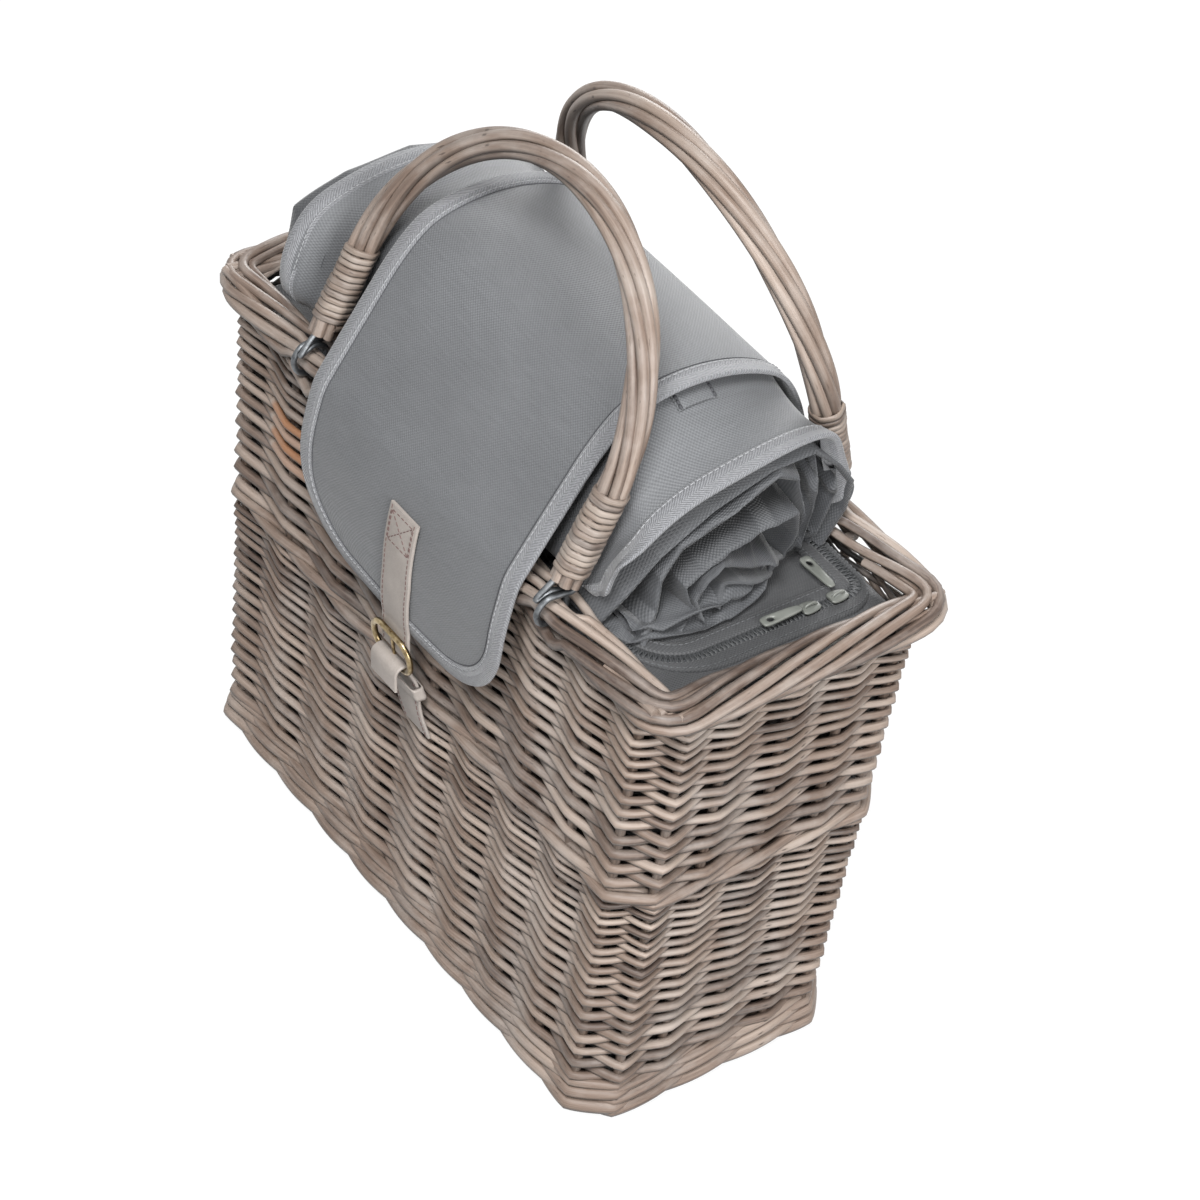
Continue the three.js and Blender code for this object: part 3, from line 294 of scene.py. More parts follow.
class Shape:
    """Points, faces and a map in millimetres along and across each strip, with a tone for each point that
    also carries painted shade.
    """

    def __init__(self):
        self.points, self.tones, self.faces, self.maps, self.slots = [], [], [], [], []
        self.count = 0

    def grid(self, points, along=None, across=None, tone=0.5, slot=0, round_across=False, round_along=False):
        """Rows of points joined by four-sided faces. The tone is one for all, or one for each row."""
        points = np.asarray(points, float)
        rows, columns = points.shape[:2]
        if along is None:
            along = run_of(points[:, columns // 2])
        if across is None:
            middle = points[rows // 2]
            across = run_of(np.concatenate([middle, middle[:1]]))
        last_row, last_column = rows - (not round_along), columns - (not round_across)
        i, j = np.meshgrid(np.arange(last_row), np.arange(last_column), indexing="ij")
        i, j = i.ravel(), j.ravel()
        along = np.append(along, 2 * along[-1] - along[-2])
        corners = [(i, j), (i, j + 1), (i + 1, j + 1), (i + 1, j)]
        index = [(a % rows) * columns + b % columns for a, b in corners]
        self.faces.append(np.stack(index, 1) + self.count)
        self.maps.append(np.stack([np.stack([along[a], across[b]], 1) for a, b in corners], 1))
        self.slots.append(np.full(len(i), slot))
        self.points.append(points.reshape(-1, 3))
        self.tones.append(np.broadcast_to(np.reshape(tone, (-1, 1)), (rows, columns)).ravel())
        self.count += rows * columns
        return self

    def fan(self, ring, middle, tone=0.5, slot=0):
        """Closes a ring of points with triangles to its middle."""
        n = len(ring)
        i = np.arange(n)
        self.faces.append(np.stack([i, (i + 1) % n, np.full(n, n)], 1) + self.count)
        flat = (ring - middle)[:, 1:]
        self.maps.append(np.stack([flat, np.roll(flat, -1, axis=0), np.zeros((n, 2))], 1))
        self.slots.append(np.full(n, slot))
        self.points.append(np.concatenate([ring, middle[None]]))
        self.tones.append(np.full(n + 1, float(tone)))
        self.count += n + 1

    def rod(self, path, radius, sides=ROD_SIDES, up=(0, 0, 1), flat=1.0, power=1.0, tone=0.5, slot=0,
            closed=False):
        """A tube along a path. flat squeezes it along up, and power under 1 squares its section."""
        path = np.asarray(path, float)
        if closed:
            tangent = unit(np.roll(path, -1, axis=0) - np.roll(path, 1, axis=0))
        else:
            tangent = unit(np.gradient(path, axis=0))
        side = unit(np.cross(tangent, np.broadcast_to(np.asarray(up, float), path.shape)))
        lift = np.cross(side, tangent)
        angle = math.tau * np.arange(sides) / sides
        radius = np.broadcast_to(np.asarray(radius, float), len(path))
        c, s = np.cos(angle), np.sin(angle)
        c, s = np.sign(c) * np.abs(c) ** power, np.sign(s) * np.abs(s) ** power
        wide = radius[:, None, None] * c[None, :, None] * side[:, None]
        high = radius[:, None, None] * flat * s[None, :, None] * lift[:, None]
        rings = path[:, None] + wide + high
        across = np.arange(sides + 1) * math.tau * radius.mean() / sides
        self.grid(rings, across=across, tone=tone, slot=slot, round_across=True, round_along=closed)
        if not closed:
            ends = np.atleast_1d(tone)
            self.fan(rings[0][::-1], path[0], ends[0], slot)
            self.fan(rings[-1], path[-1], ends[-1], slot)
        return self

    def make(self, name, materials):
        """The piece as a Blender object, in metres."""
        mesh = bpy.data.meshes.new(name)
        points = np.concatenate(self.points) * MM
        mesh.vertices.add(len(points))
        mesh.vertices.foreach_set("co", points.ravel())
        sizes = np.concatenate([np.full(len(f), f.shape[1]) for f in self.faces])
        mesh.loops.add(int(sizes.sum()))
        corners = np.concatenate([f.ravel() for f in self.faces])
        mesh.loops.foreach_set("vertex_index", corners.astype(np.int32))
        mesh.polygons.add(len(sizes))
        mesh.polygons.foreach_set("loop_start", (np.cumsum(sizes) - sizes).astype(np.int32))
        mesh.polygons.foreach_set("material_index", np.concatenate(self.slots).astype(np.int32))
        mesh.polygons.foreach_set("use_smooth", np.ones(len(sizes), bool))
        mesh.uv_layers.new(name="Run").data.foreach_set("uv", np.concatenate([m.ravel() for m in self.maps]))
        tones = mesh.attributes.new("tone", "FLOAT", "POINT")
        tones.data.foreach_set("value", np.concatenate(self.tones))
        mesh.update(calc_edges=True)
        mesh.validate()
        for material in materials:
            mesh.materials.append(material)
        piece = bpy.data.objects.new(name, mesh)
        bpy.context.scene.collection.objects.link(piece)
        return piece


def stitches(shape, line, pitch, radius, slot, up=(0, 0, 1)):
    """A row of short stitches along a line, each dipping in at both ends."""
    run = run_of(line)
    count = max(int(run[-1] / pitch), 1)
    for i in range(count):
        at = (i + np.array([0.15, 0.3, 0.5, 0.7, 0.85])) * run[-1] / count
        path = sampled(at, run, line)
        shape.rod(path, radius * np.array([0.6, 1, 1.05, 1, 0.6]), sides=5, up=up, slot=slot)


def dress(piece, body, nodes):
    """Rides a piece on its body, in the place of CAD nodes."""
    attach(piece, body)
    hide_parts(*nodes)


def thicken(piece, thick, offset=0.0):
    modifier = piece.modifiers.new("cloth", "SOLIDIFY")
    modifier.thickness = thick * MM
    modifier.offset = offset
    return piece


# Materials


class Nodes:
    """A node tree: each call adds one node, with its settings and linked or constant inputs."""

    def __init__(self, tree):
        self.tree = tree

    def add(self, kind, inputs=None, **settings):
        node = self.tree.nodes.new("ShaderNode" + kind)
        for key, value in settings.items():
            setattr(node, key, value)
        for key, value in (inputs or {}).items():
            self.put(node, key, value)
        return node

    def put(self, node, key, value):
        if isinstance(value, bpy.types.NodeSocket):
            self.tree.links.new(value, node.inputs[key])
        else:
            node.inputs[key].default_value = value

    def math(self, operation, a, b=0.0):
        return self.add("Math", {0: a, 1: b}, operation=operation).outputs[0]

    def lit_or_seen(self, lit, seen):
        """One shader for the light that reaches the object, and one for rays that show the background."""
        ray = self.add("LightPath").outputs
        shown = self.math("MAXIMUM", ray["Is Camera Ray"], ray["Is Glossy Ray"])
        return self.add("MixShader", {0: shown, 1: lit.outputs[0], 2: seen.outputs[0]}).outputs[0]


def grey(level):
    return (level, level, level)


class Paint(Nodes):
    """A material round one Principled shader."""

    def __init__(self, name):
        self.material = bpy.data.materials.new(name)
        self.material.use_nodes = True
        super().__init__(self.material.node_tree)
        self.shader = self.tree.nodes["Principled BSDF"]

    def finish(self, **inputs):
        for key, value in inputs.items():
            self.put(self.shader, key.replace("_", " "), value)
        return self.material

    def run(self, scale):
        """The strip map in millimetres, scaled along and across."""
        uv = self.add("UVMap", uv_map="Run")
        return self.add("Mapping", {"Vector": uv.outputs[0], "Scale": (*scale, 1)}).outputs[0]

    def noise(self, vector, scale=1.0, detail=4.0, roughness=0.55):
        inputs = {"Vector": vector, "Scale": scale, "Detail": detail, "Roughness": roughness}
        return self.add("TexNoise", inputs).outputs["Fac"]

    def place(self):
        return self.add("TexCoord").outputs["Object"]

    def tone(self):
        return self.add("Attribute", attribute_name="tone").outputs["Fac"]

    def ramp(self, factor, *stops):
        node = self.add("ValToRGB", {"Fac": factor})
        while len(node.color_ramp.elements) < len(stops):
            node.color_ramp.elements.new(0.5)
        for element, (at, color) in zip(node.color_ramp.elements, stops):
            element.position = at
            element.color = (*color, 1)
        return node.outputs["Color"]

    def mix(self, factor, a, b, blend="MIX"):
        node = self.add("Mix", data_type="RGBA", blend_type=blend)
        self.put(node, "Factor", factor)
        for key, value in ((6, a), (7, b)):
            self.put(node, key, value if isinstance(value, bpy.types.NodeSocket) else (*value, 1))
        return node.outputs[2]

    def bump(self, height, strength, distance):
        node = self.add("Bump", {"Height": height, "Strength": strength, "Distance": distance * MM})
        return node.outputs["Normal"]


WASH, KNOT, BARE = (0.43, 0.385, 0.35), (0.045, 0.032, 0.025), (0.34, 0.155, 0.07)


def willow(name, dark, middle, pale):
    """Grey-washed willow: fibres along each rod, a tone for each rod, pale wash, dark specks, bare patches.

    Painted shade darkens the undersides, and the stretches behind the stakes, where the tone is under 0."""
    p = Paint(name)
    streak = p.noise(p.run((0.018, 0.6)), detail=6, roughness=0.7)
    patch = p.noise(p.run((0.03, 0.12)), detail=3)
    wash = p.noise(p.place(), 26, 5, 0.65)
    tone = p.tone()
    mixed = p.math("ADD", p.math("MULTIPLY", streak, 0.60), p.math("MULTIPLY", tone, 0.40))
    color = p.ramp(mixed, (0.30, dark), (0.48, middle), (0.70, pale))
    washed = p.ramp(p.math("MULTIPLY", wash, patch), (0.20, grey(0)), (0.38, grey(0.5)))
    color = p.mix(washed, color, WASH)
    knots = p.noise(p.run((0.10, 0.45)), detail=3)
    color = p.mix(p.ramp(knots, (0.28, grey(0.8)), (0.35, grey(0))), color, KNOT)
    bare = p.math("MULTIPLY", p.math("SUBTRACT", tone, 1.0), patch)
    color = p.mix(p.ramp(bare, (0.05, grey(0)), (0.5, grey(0.9))), color, BARE)
    # painted shade: the rods get darker where their surface faces down
    facing = p.add("SeparateXYZ", {"Vector": p.add("TexCoord").outputs["Normal"]}).outputs["Z"]
    under = p.ramp(p.math("ADD", facing, 0.6), (0.0, grey(0.22)), (0.45, grey(0.7)), (0.75, grey(1)))
    # painted shade: a tone under 0 darkens the rods where they pass behind the stakes
    behind = p.ramp(p.math("ADD", tone, 1.0), (0.0, grey(0.06)), (0.9, grey(1)))
    color = p.mix(1.0, p.mix(1.0, color, under, "MULTIPLY"), behind, "MULTIPLY")
    rough = p.ramp(streak, (0.25, grey(0.36)), (0.75, grey(0.58)))
    normal = p.bump(p.math("ADD", streak, patch), 0.45, 0.6)
    return p.finish(Base_Color=color, Roughness=rough, Normal=normal, Specular_IOR_Level=0.5)


def woven(p, pitch):
    """Height of a plain weave with threads at one pitch."""
    split = p.add("SeparateXYZ", {"Vector": p.run((math.tau / pitch, math.tau / pitch))})
    warp = p.math("SINE", split.outputs["X"])
    weft = p.math("SINE", split.outputs["Y"])
    return p.math("MULTIPLY", warp, weft)


def canvas(name, dark, pale, pitch=1.9):
    """Coated polyester canvas: a plain weave of uneven threads with a soft sheen, and painted shade in deep
    creases, where the tone is under 0.5.
    """
    p = Paint(name)
    weave = woven(p, pitch)
    thread = p.noise(p.run((0.9, 0.06)), detail=3)
    cloud = p.noise(p.place(), 14, 3)
    uneven = p.math("ADD", p.math("MULTIPLY", thread, 0.35), p.math("MULTIPLY", cloud, 0.45))
    color = p.ramp(p.math("ADD", p.math("MULTIPLY", weave, 0.17), uneven), (0.10, dark), (0.72, pale))
    # painted shade: a tone under 0.5 darkens the cloth, down to 0.16 at a tone of 0
    color = p.mix(1.0, color, p.ramp(p.tone(), (0.0, grey(0.16)), (0.5, grey(1))), "MULTIPLY")
    rough = p.ramp(cloud, (0.3, grey(0.55)), (0.7, grey(0.68)))
    normal = p.bump(p.math("ADD", weave, p.math("MULTIPLY", thread, 0.8)), 0.6, 0.2)
    return p.finish(Base_Color=color, Roughness=rough, Normal=normal, Sheen_Weight=0.2, Sheen_Roughness=0.4)


def herringbone(name, dark, pale):
    """Woven binding tape with slanting ribs that turn at its middle."""
    p = Paint(name)
    split = p.add("SeparateXYZ", {"Vector": p.run((1, 1))})
    turned = p.math("PINGPONG", split.outputs["Y"], TAPE_WIDE / 2)
    rib = p.math("SINE", p.math("MULTIPLY", p.math("ADD", split.outputs["X"], turned), math.tau / 1.7))
    thread = p.noise(p.run((0.5, 0.9)), detail=3)
    level = p.math("ADD", p.math("MULTIPLY", rib, 0.2), thread)
    color = p.ramp(level, (0.25, dark), (0.75, pale))
    return p.finish(Base_Color=color, Roughness=0.72, Normal=p.bump(p.math("ADD", rib, thread), 0.6, 0.25),
                    Sheen_Weight=0.3, Sheen_Roughness=0.5)


def leather_paint(name, dark, pale):
    p = Paint(name)
    grain = p.add("TexVoronoi", {"Vector": p.run((0.9, 0.9)), "Scale": 1.6}).outputs["Distance"]
    cloud = p.noise(p.run((0.05, 0.08)), detail=5)
    color = p.ramp(p.math("ADD", p.math("MULTIPLY", grain, 0.18), p.math("MULTIPLY", cloud, 0.8)),
                   (0.25, dark), (0.72, pale))
    rough = p.ramp(cloud, (0.3, grey(0.48)), (0.7, grey(0.62)))
    return p.finish(Base_Color=color, Roughness=rough, Normal=p.bump(grain, 0.25, 0.15),
                    Specular_IOR_Level=0.4)


def metal(name, dark, pale, rough):
    p = Paint(name)
    wear = p.noise(p.place(), 300, 5, 0.6)
    color = p.ramp(wear, (0.32, dark), (0.62, pale))
    roughness = p.ramp(wear, (0.3, grey(rough + 0.14)), (0.7, grey(rough)))
    return p.finish(Base_Color=color, Metallic=1.0, Roughness=roughness, Normal=p.bump(wear, 0.12, 0.2))


def yarn(name, dark, pale):
    p = Paint(name)
    strand = p.noise(p.run((2.2, 0.9)), detail=3)
    return p.finish(Base_Color=p.ramp(strand, (0.3, dark), (0.7, pale)), Roughness=0.8,
                    Normal=p.bump(strand, 0.5, 0.1))


def film(name, dark, pale, rough):
    """A smooth skin: foam, lining, nylon and painted zip metal."""
    p = Paint(name)
    cloud = p.noise(p.place(), 40, 4)
    return p.finish(Base_Color=p.ramp(cloud, (0.3, dark), (0.7, pale)), Roughness=rough,
                    Normal=p.bump(p.noise(p.place(), 160, 3), 0.15, 0.4))


WILLOW = willow("willow", (0.064, 0.043, 0.034), (0.190, 0.137, 0.107), (0.360, 0.290, 0.243))
CANE = willow("cane", (0.070, 0.050, 0.040), (0.185, 0.140, 0.113), (0.330, 0.272, 0.228))
CANVAS = canvas("canvas", (0.085, 0.088, 0.093), (0.182, 0.188, 0.197))
# Painted shade: the blanket cloth is a darker copy of the canvas, standing for the shade in the roll's end;
# the zip's tape uses it too.
SHADED_BLANKET = canvas("blanket_cloth_shaded", (0.044, 0.046, 0.050), (0.102, 0.106, 0.113))
# Partly the bag's own darker canvas, partly painted shade: darkened further to stand for the shade on the
# lid.
SHADED_BAG = canvas("bag_canvas_shaded", (0.042, 0.043, 0.045), (0.096, 0.098, 0.102))
TAPE = herringbone("binding_tape", (0.150, 0.153, 0.162), (0.270, 0.275, 0.290))
THREAD = yarn("grey_thread", (0.24, 0.245, 0.255), (0.44, 0.445, 0.46))
DARK_THREAD = yarn("dark_thread", (0.045, 0.046, 0.05), (0.09, 0.092, 0.10))
LEATHER = leather_paint("taupe_leather", (0.290, 0.255, 0.230), (0.420, 0.380, 0.350))
LEATHER_THREAD = yarn("brown_thread", (0.10, 0.060, 0.055), (0.20, 0.125, 0.115))
BRASS = metal("antique_brass", (0.13, 0.09, 0.042), (0.43, 0.34, 0.20), 0.24)
WIRE = metal("galvanised_wire", (0.08, 0.085, 0.09), (0.20, 0.21, 0.22), 0.42)
ZIP_METAL = film("zip_paint", (0.135, 0.143, 0.128), (0.230, 0.238, 0.218), 0.34)
NYLON = film("nylon_coil", (0.040, 0.042, 0.044), (0.085, 0.088, 0.091), 0.45)
LINING = film("silver_lining", (0.50, 0.52, 0.54), (0.64, 0.66, 0.68), 0.32)
FOAM = film("white_foam", (0.70, 0.68, 0.64), (0.82, 0.80, 0.76), 0.9)


# Basket measures from the frame


def node_points(name):
    mesh = frame["nodes"][name].data
    points = np.empty(3 * len(mesh.vertices), np.float32)
    mesh.vertices.foreach_get("co", points)
    return points.reshape(-1, 3) / MM


def box_mm(name):
    low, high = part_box(name)
    return np.array(low) / MM, np.array(high) / MM


def joint_mm(name):
    return np.array(next(j["pos_m"] for j in frame["joints"] if j["name"] == name)) / MM


def wall_places(z, inset):
    """Stake places round the wall at one height, anticlockwise from the front left corner."""
    halves = lerp(FOOT_HALVES, TOP_HALVES, z / WALL_TOP)
    fronts, ends = (np.array(s) * g for s, g in zip((FRONT_STAKES, END_STAKES), halves / FOOT_HALVES))
    l, w = halves - inset
    front = [(x, -w) for x in (-l + CORNER_CUT, *fronts, l - CORNER_CUT)]
    right = [(l, y) for y in (-w + CORNER_CUT, *ends, w - CORNER_CUT)]
    return np.array(front + right + [(-x, -y) for x, y in front + right])


def round_line(places, steps=BAY_STEPS):
    """A line through the stake places with its outward directions, and the share of each bay passed."""
    along = np.roll(places, -1, axis=0) - places
    face = unit(np.stack([along[:, 1], -along[:, 0]], 1))
    corner = unit(face + np.roll(face, 1, axis=0))
    t = np.arange(steps) / steps
    near, far = (np.clip(1 - share / BAY_EASE, 0, 1)[None, :, None] for share in (t, 1 - t))
    out = face[:, None] * (1 - near - far) + corner[:, None] * near
    out = out + np.roll(corner, -1, axis=0)[:, None] * far
    line = places[:, None] + along[:, None] * t[None, :, None]
    return line.reshape(-1, 2), unit(out).reshape(-1, 2), t


# Woven walls


def course(shape, z, height, turn):
    """One course of rods: in front of one stake and behind the next, where a new rod may start."""
    r = ROD_SHARE * height / 2
    line, out, t = round_line(wall_places(z, WEAVE_DEPTH / 2 - WEAVE_PROUD))
    sign = np.where((np.arange(STAKES) + turn) % 2, -1, 1)
    swing = WEAVE_DEPTH / 2 - r + RANDOM.normal(0, 0.3, STAKES)
    wave = np.arcsin(WEAVE_ROUND * np.cos(math.pi * t)) / math.asin(WEAVE_ROUND)
    swings = lerp(swing[:, None], np.roll(swing, -1)[:, None], t[None])
    depth = (sign[:, None] * wave[None] * swings).ravel()
    sag = RANDOM.normal(0, 0.10 * height, STAKES)
    rise = lerp(sag[:, None], np.roll(sag, -1)[:, None], smooth(t)[None]).ravel()
    path = np.concatenate([line + out * depth[:, None], (z + rise)[:, None]], 1)
    rod = np.repeat(np.cumsum((sign < 0) & (RANDOM.random(STAKES) < NEW_ROD)), BAY_STEPS)
    tones = RANDOM.beta(1.8, 1.8, STAKES + 1)[rod]
    sizes = RANDOM.normal(1, 0.06, STAKES + 1).clip(0.86, 1.12)[rod]
    inside = (path[:, [0, 2]] > NATURAL_LOW) & (path[:, [0, 2]] < NATURAL_HIGH)
    natural = inside.all(1) & (path[:, 1] < 0)
    # painted shade: the rods go dark as they dive behind a stake
    sunk_shade = smooth((-depth - 0.2) / 3.2)
    shape.rod(path, r * sizes, tone=np.minimum(tones, 0.98) + 1.2 * natural - 1.6 * sunk_shade, closed=True)


def weave_band(low, high, first, last):
    shape = Shape()
    count = round((high - low) / ((first + last) / 2))
    heights = np.linspace(first, last, count)
    heights *= (high - low) / heights.sum()
    tops = low + np.cumsum(heights)
    for turn, (top, height) in enumerate(zip(tops, heights)):
        course(shape, top - height / 2, height, turn)
    return shape


def wale(shape, z, rod_r, inset, height, swing):
    """Three rods twined round the basket like a rope."""
    line, out, _ = round_line(wall_places(z, inset), 10)
    run = np.cumsum(np.linalg.norm(np.roll(line, -1, axis=0) - line, axis=1))
    share = (run - run[0]) / run[-1]
    for strand in range(3):
        turn = math.tau * (WALE_ROUNDS * share + strand / 3)
        path = np.column_stack([line + out * (swing * np.cos(turn))[:, None], z + height * np.sin(turn)])
        tone = 0.5 + 0.35 * waves(share * 9, strand, 31 + strand)
        shape.rod(path, rod_r * (1 + 0.05 * waves(share * 14, strand, 5)), tone=tone, closed=True)


def build_walls():
    upper = weave_band(MID_Z + 5, WALL_TOP + 3, UPPER_FIRST, UPPER_LAST).make("weave_upper", [WILLOW])
    lower = weave_band(FOOT_TOP, MID_Z - 4, LOWER_FIRST, LOWER_LAST).make("weave_lower", [WILLOW])
    dress(upper, "basket", [f"wall_{side}" for side in SIDES])
    dress(lower, "basket", [f"corner_{end}_{side}" for end in SIDES[:2] for side in SIDES[2:]])
    stakes = Shape()
    middle = WEAVE_DEPTH / 2 - WEAVE_PROUD
    for a, b in zip(wall_places(0, middle), wall_places(WALL_TOP, middle)):
        path = np.linspace([*a, 3], [*b, WALL_TOP + 6], 12)
        # painted shade: the stakes, seen only in the gaps, get a darker tone than the rods
        stakes.rod(path, STAKE_R, up=(0, 1, 0), tone=0.3)
    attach(stakes.make("stakes", [WILLOW]), "basket")
    foot_wale = Shape()
    for measures in FOOT_WALES:
        wale(foot_wale, *measures)
    dress(foot_wale.make("foot_twining", [WILLOW]), "basket", ["foot_wale"])
    mid_wale = Shape()
    wale(mid_wale, *MID_WALE)
    dress(mid_wale.make("mid_twining", [WILLOW]), "basket", ["mid_wale"])


def build_base():
    """Woven base: sticks across with rods over and under them."""
    low, high = box_mm("base_weave")
    shape = Shape()
    middle = (low[2] + high[2]) / 2
    sticks = np.linspace(low[0] + 14, high[0] - 14, BASE_STICKS)
    for x in sticks:
        path = np.linspace([x, low[1] + 2, middle], [x, high[1] - 2, middle], 6)
        shape.rod(path, BASE_STICK_R, tone=RANDOM.uniform(0.2, 0.6))
    rows = np.arange(low[1] + 4, high[1] - 3, BASE_PITCH)
    xs = np.linspace(low[0] + 1, high[0] - 1, 110)
    for i, y in enumerate(rows):
        swing = BASE_SWING * np.cos(math.pi * (xs - sticks[0]) / (sticks[1] - sticks[0]))
        path = np.column_stack([xs, np.full_like(xs, y), middle + (-1) ** i * swing])
        shape.rod(path, BASE_ROD_R, tone=RANDOM.uniform(0.2, 0.8))
    dress(shape.make("base_twining", [WILLOW]), "basket", ["base_weave"])


# Border of laid rods


def build_border():
    """Thin rods laid side by side: each comes up outside, leans over the top and ends cut off inside."""
    low, high = box_mm("rim_front")
    _, right = box_mm("rim_right")
    middle, tall, wide = (low[2] + high[2]) / 2, (high[2] - low[2]) / 2, (high[1] - low[1]) / 2
    ring = rounded_ring(right[0] - wide, -low[1] - wide, BORDER_CORNER, 9, 50)
    along = unit(np.roll(ring, -1, axis=0) - np.roll(ring, 1, axis=0))
    out = np.stack([along[:, 1], -along[:, 0]], 1)
    ring, out = (np.concatenate([v, v[:1]]) for v in (ring, out))
    run = run_of(ring)
    reach, rise = wide - BORDER_ROD_R, tall - BORDER_ROD_R
    lay = spaced(curve_through([
        (0.55 * reach, -1.3 * rise), (0.95 * reach, -0.75 * rise), (reach, 0.0), (0.72 * reach, 0.8 * rise),
        (0.2 * reach, rise), (-0.35 * reach, 0.95 * rise), (-0.8 * reach, 0.6 * rise), (-reach, -0.1 * rise),
    ], 8), BORDER_STEPS)
    shape = Shape()
    step = run[-1] / BORDER_RODS
    for start in step * np.arange(BORDER_RODS):
        length = BORDER_BAYS * step * RANDOM.uniform(0.92, 1.04)
        at = (start + np.linspace(0, length, BORDER_STEPS)) % run[-1]
        base, away = sampled(at, run, ring), unit(sampled(at, run, out))
        off = lay + 0.8 * waves(at / 70, start, 33)[:, None]
        path = np.column_stack([base + away * off[:, :1], middle + off[:, 1]])
        path[1:-1] = (path[:-2] + 2 * path[1:-1] + path[2:]) / 4
        radius = BORDER_ROD_R * RANDOM.uniform(0.88, 1.08) * np.linspace(1.04, 0.9, BORDER_STEPS)
        shape.rod(parted(path), radius, tone=RANDOM.beta(1.4, 1.4))
    tucked_ends(shape, np.array([right[0], -low[1]]), high[2])
    border = shape.make("border_plait", [WILLOW])
    dress(border, "basket", [f"rim_{side}" for side in SIDES])


def parted(path):
    """A border rod's path, drawn aside where a handle's wire ring goes round the rods beside it."""
    path = path.copy()
    clear = RING_WIRE_R + 1.35 * BORDER_ROD_R
    for joint in ("front_handle_swing", "rear_handle_swing"):
        axis = joint_mm(joint)[1:]
        for x in (-HOOP_SPAN, HOOP_SPAN):
            off = path[:, 1:] - axis
            far = np.maximum(np.linalg.norm(off, axis=1), 0.1)
            gap = np.abs(path[:, 0] - x)
            nearest = np.argmin(gap + far)
            if gap[nearest] > PART_REACH or far[nearest] > PART_FAR:
                continue
            inside = far[nearest] < RING_R
            goal = np.minimum(far, RING_R - clear) if inside else np.maximum(far, RING_R + clear)
            near = smooth((PART_REACH - gap) / PART_EASE) * (far < PART_FAR)
            path[:, 1:] = axis + off * lerp(1, goal / far, near)[:, None]
    return path


def tucked_ends(shape, halves, top):
    """Short cut ends that cross on top of the border's corners."""
    for side_x, side_y in ((1, -1), (1, 1), (-1, 1), (-1, -1)):
        for k, (axis, off, end) in enumerate(CORNER_ENDS):
            u = np.linspace(-CORNER_END, 0, 9)
            path = np.zeros((9, 3))
            path[:, axis] = halves[axis] - end + u
            path[:, 1 - axis] = halves[1 - axis] - BORDER_ROD_R - off + 0.12 * u * (k % 2)
            path[:, 2] = top - BORDER_ROD_R - 1.8 - 1.1 * (k % 3) + 0.05 * u
            path[:, :2] *= (side_x, side_y)
            tone = np.append(np.full(8, RANDOM.uniform(0.3, 0.6)), 0.7)
            shape.rod(path, BORDER_ROD_R * RANDOM.uniform(0.86, 1.0), tone=tone)


# Handles

HOOP_SPAN = np.mean([box_mm("front_handle_ring_right")[i][0] for i in (0, 1)])


def hoop_line(count):
    """Middle line of a hoop in its own plane, with its outward directions and the share passed."""
    arch = HOOP_RISE - HOOP_LEG
    turn = np.linspace(math.pi, 0, 400)
    bow = np.stack([HOOP_SPAN * np.cos(turn), HOOP_LEG + arch * np.sin(turn)], 1)
    line = spaced(np.concatenate([[[-HOOP_SPAN, HOOP_FOOT]], bow, [[HOOP_SPAN, HOOP_FOOT]]]), count)
    along = unit(np.gradient(line, axis=0))
    return line, np.stack([-along[:, 1], along[:, 0]], 1), np.linspace(0, 1, count)


HOOP_LONG = run_of(hoop_line(400)[0])[-1]


def leaned(points, axis, lean):
    """Hoop points (x, across, up) turned to their lean and set on the hinge axis."""
    c, s = math.cos(math.radians(lean)), math.sin(math.radians(lean))
    x, y, z = points[..., 0], points[..., 1], points[..., 2]
    return np.stack([x, axis[1] + y * c - z * s, axis[2] + y * s + z * c], -1)


def handle_rods(axis, lean, seed):
    line, out, share = hoop_line(HANDLE_STEPS)
    shape = Shape()
    for i in range(HANDLE_RODS):
        spin = math.tau * (i / HANDLE_RODS + HANDLE_TWISTS * share) + 0.12 * waves(share * 4, i, seed + i)
        side, across = HANDLE_ORBIT * np.cos(spin), HANDLE_ORBIT * np.sin(spin)
        path = np.column_stack([line[:, 0] + out[:, 0] * side, across, line[:, 1] + out[:, 1] * side])
        taper = share if i % 2 else 1 - share
        radius = HANDLE_ROD_R * (0.9 + 0.16 * taper + 0.02 * waves(share * 12, i, seed))
        tone = 0.5 + 0.35 * waves(share * 2, i * 0.7, seed + 9)
        up = leaned(np.array([[0.0, 1.0, 0.0]]), np.zeros(3), lean)[0]
        shape.rod(leaned(path, axis, lean), radius, sides=12, up=up, tone=tone)
    return shape


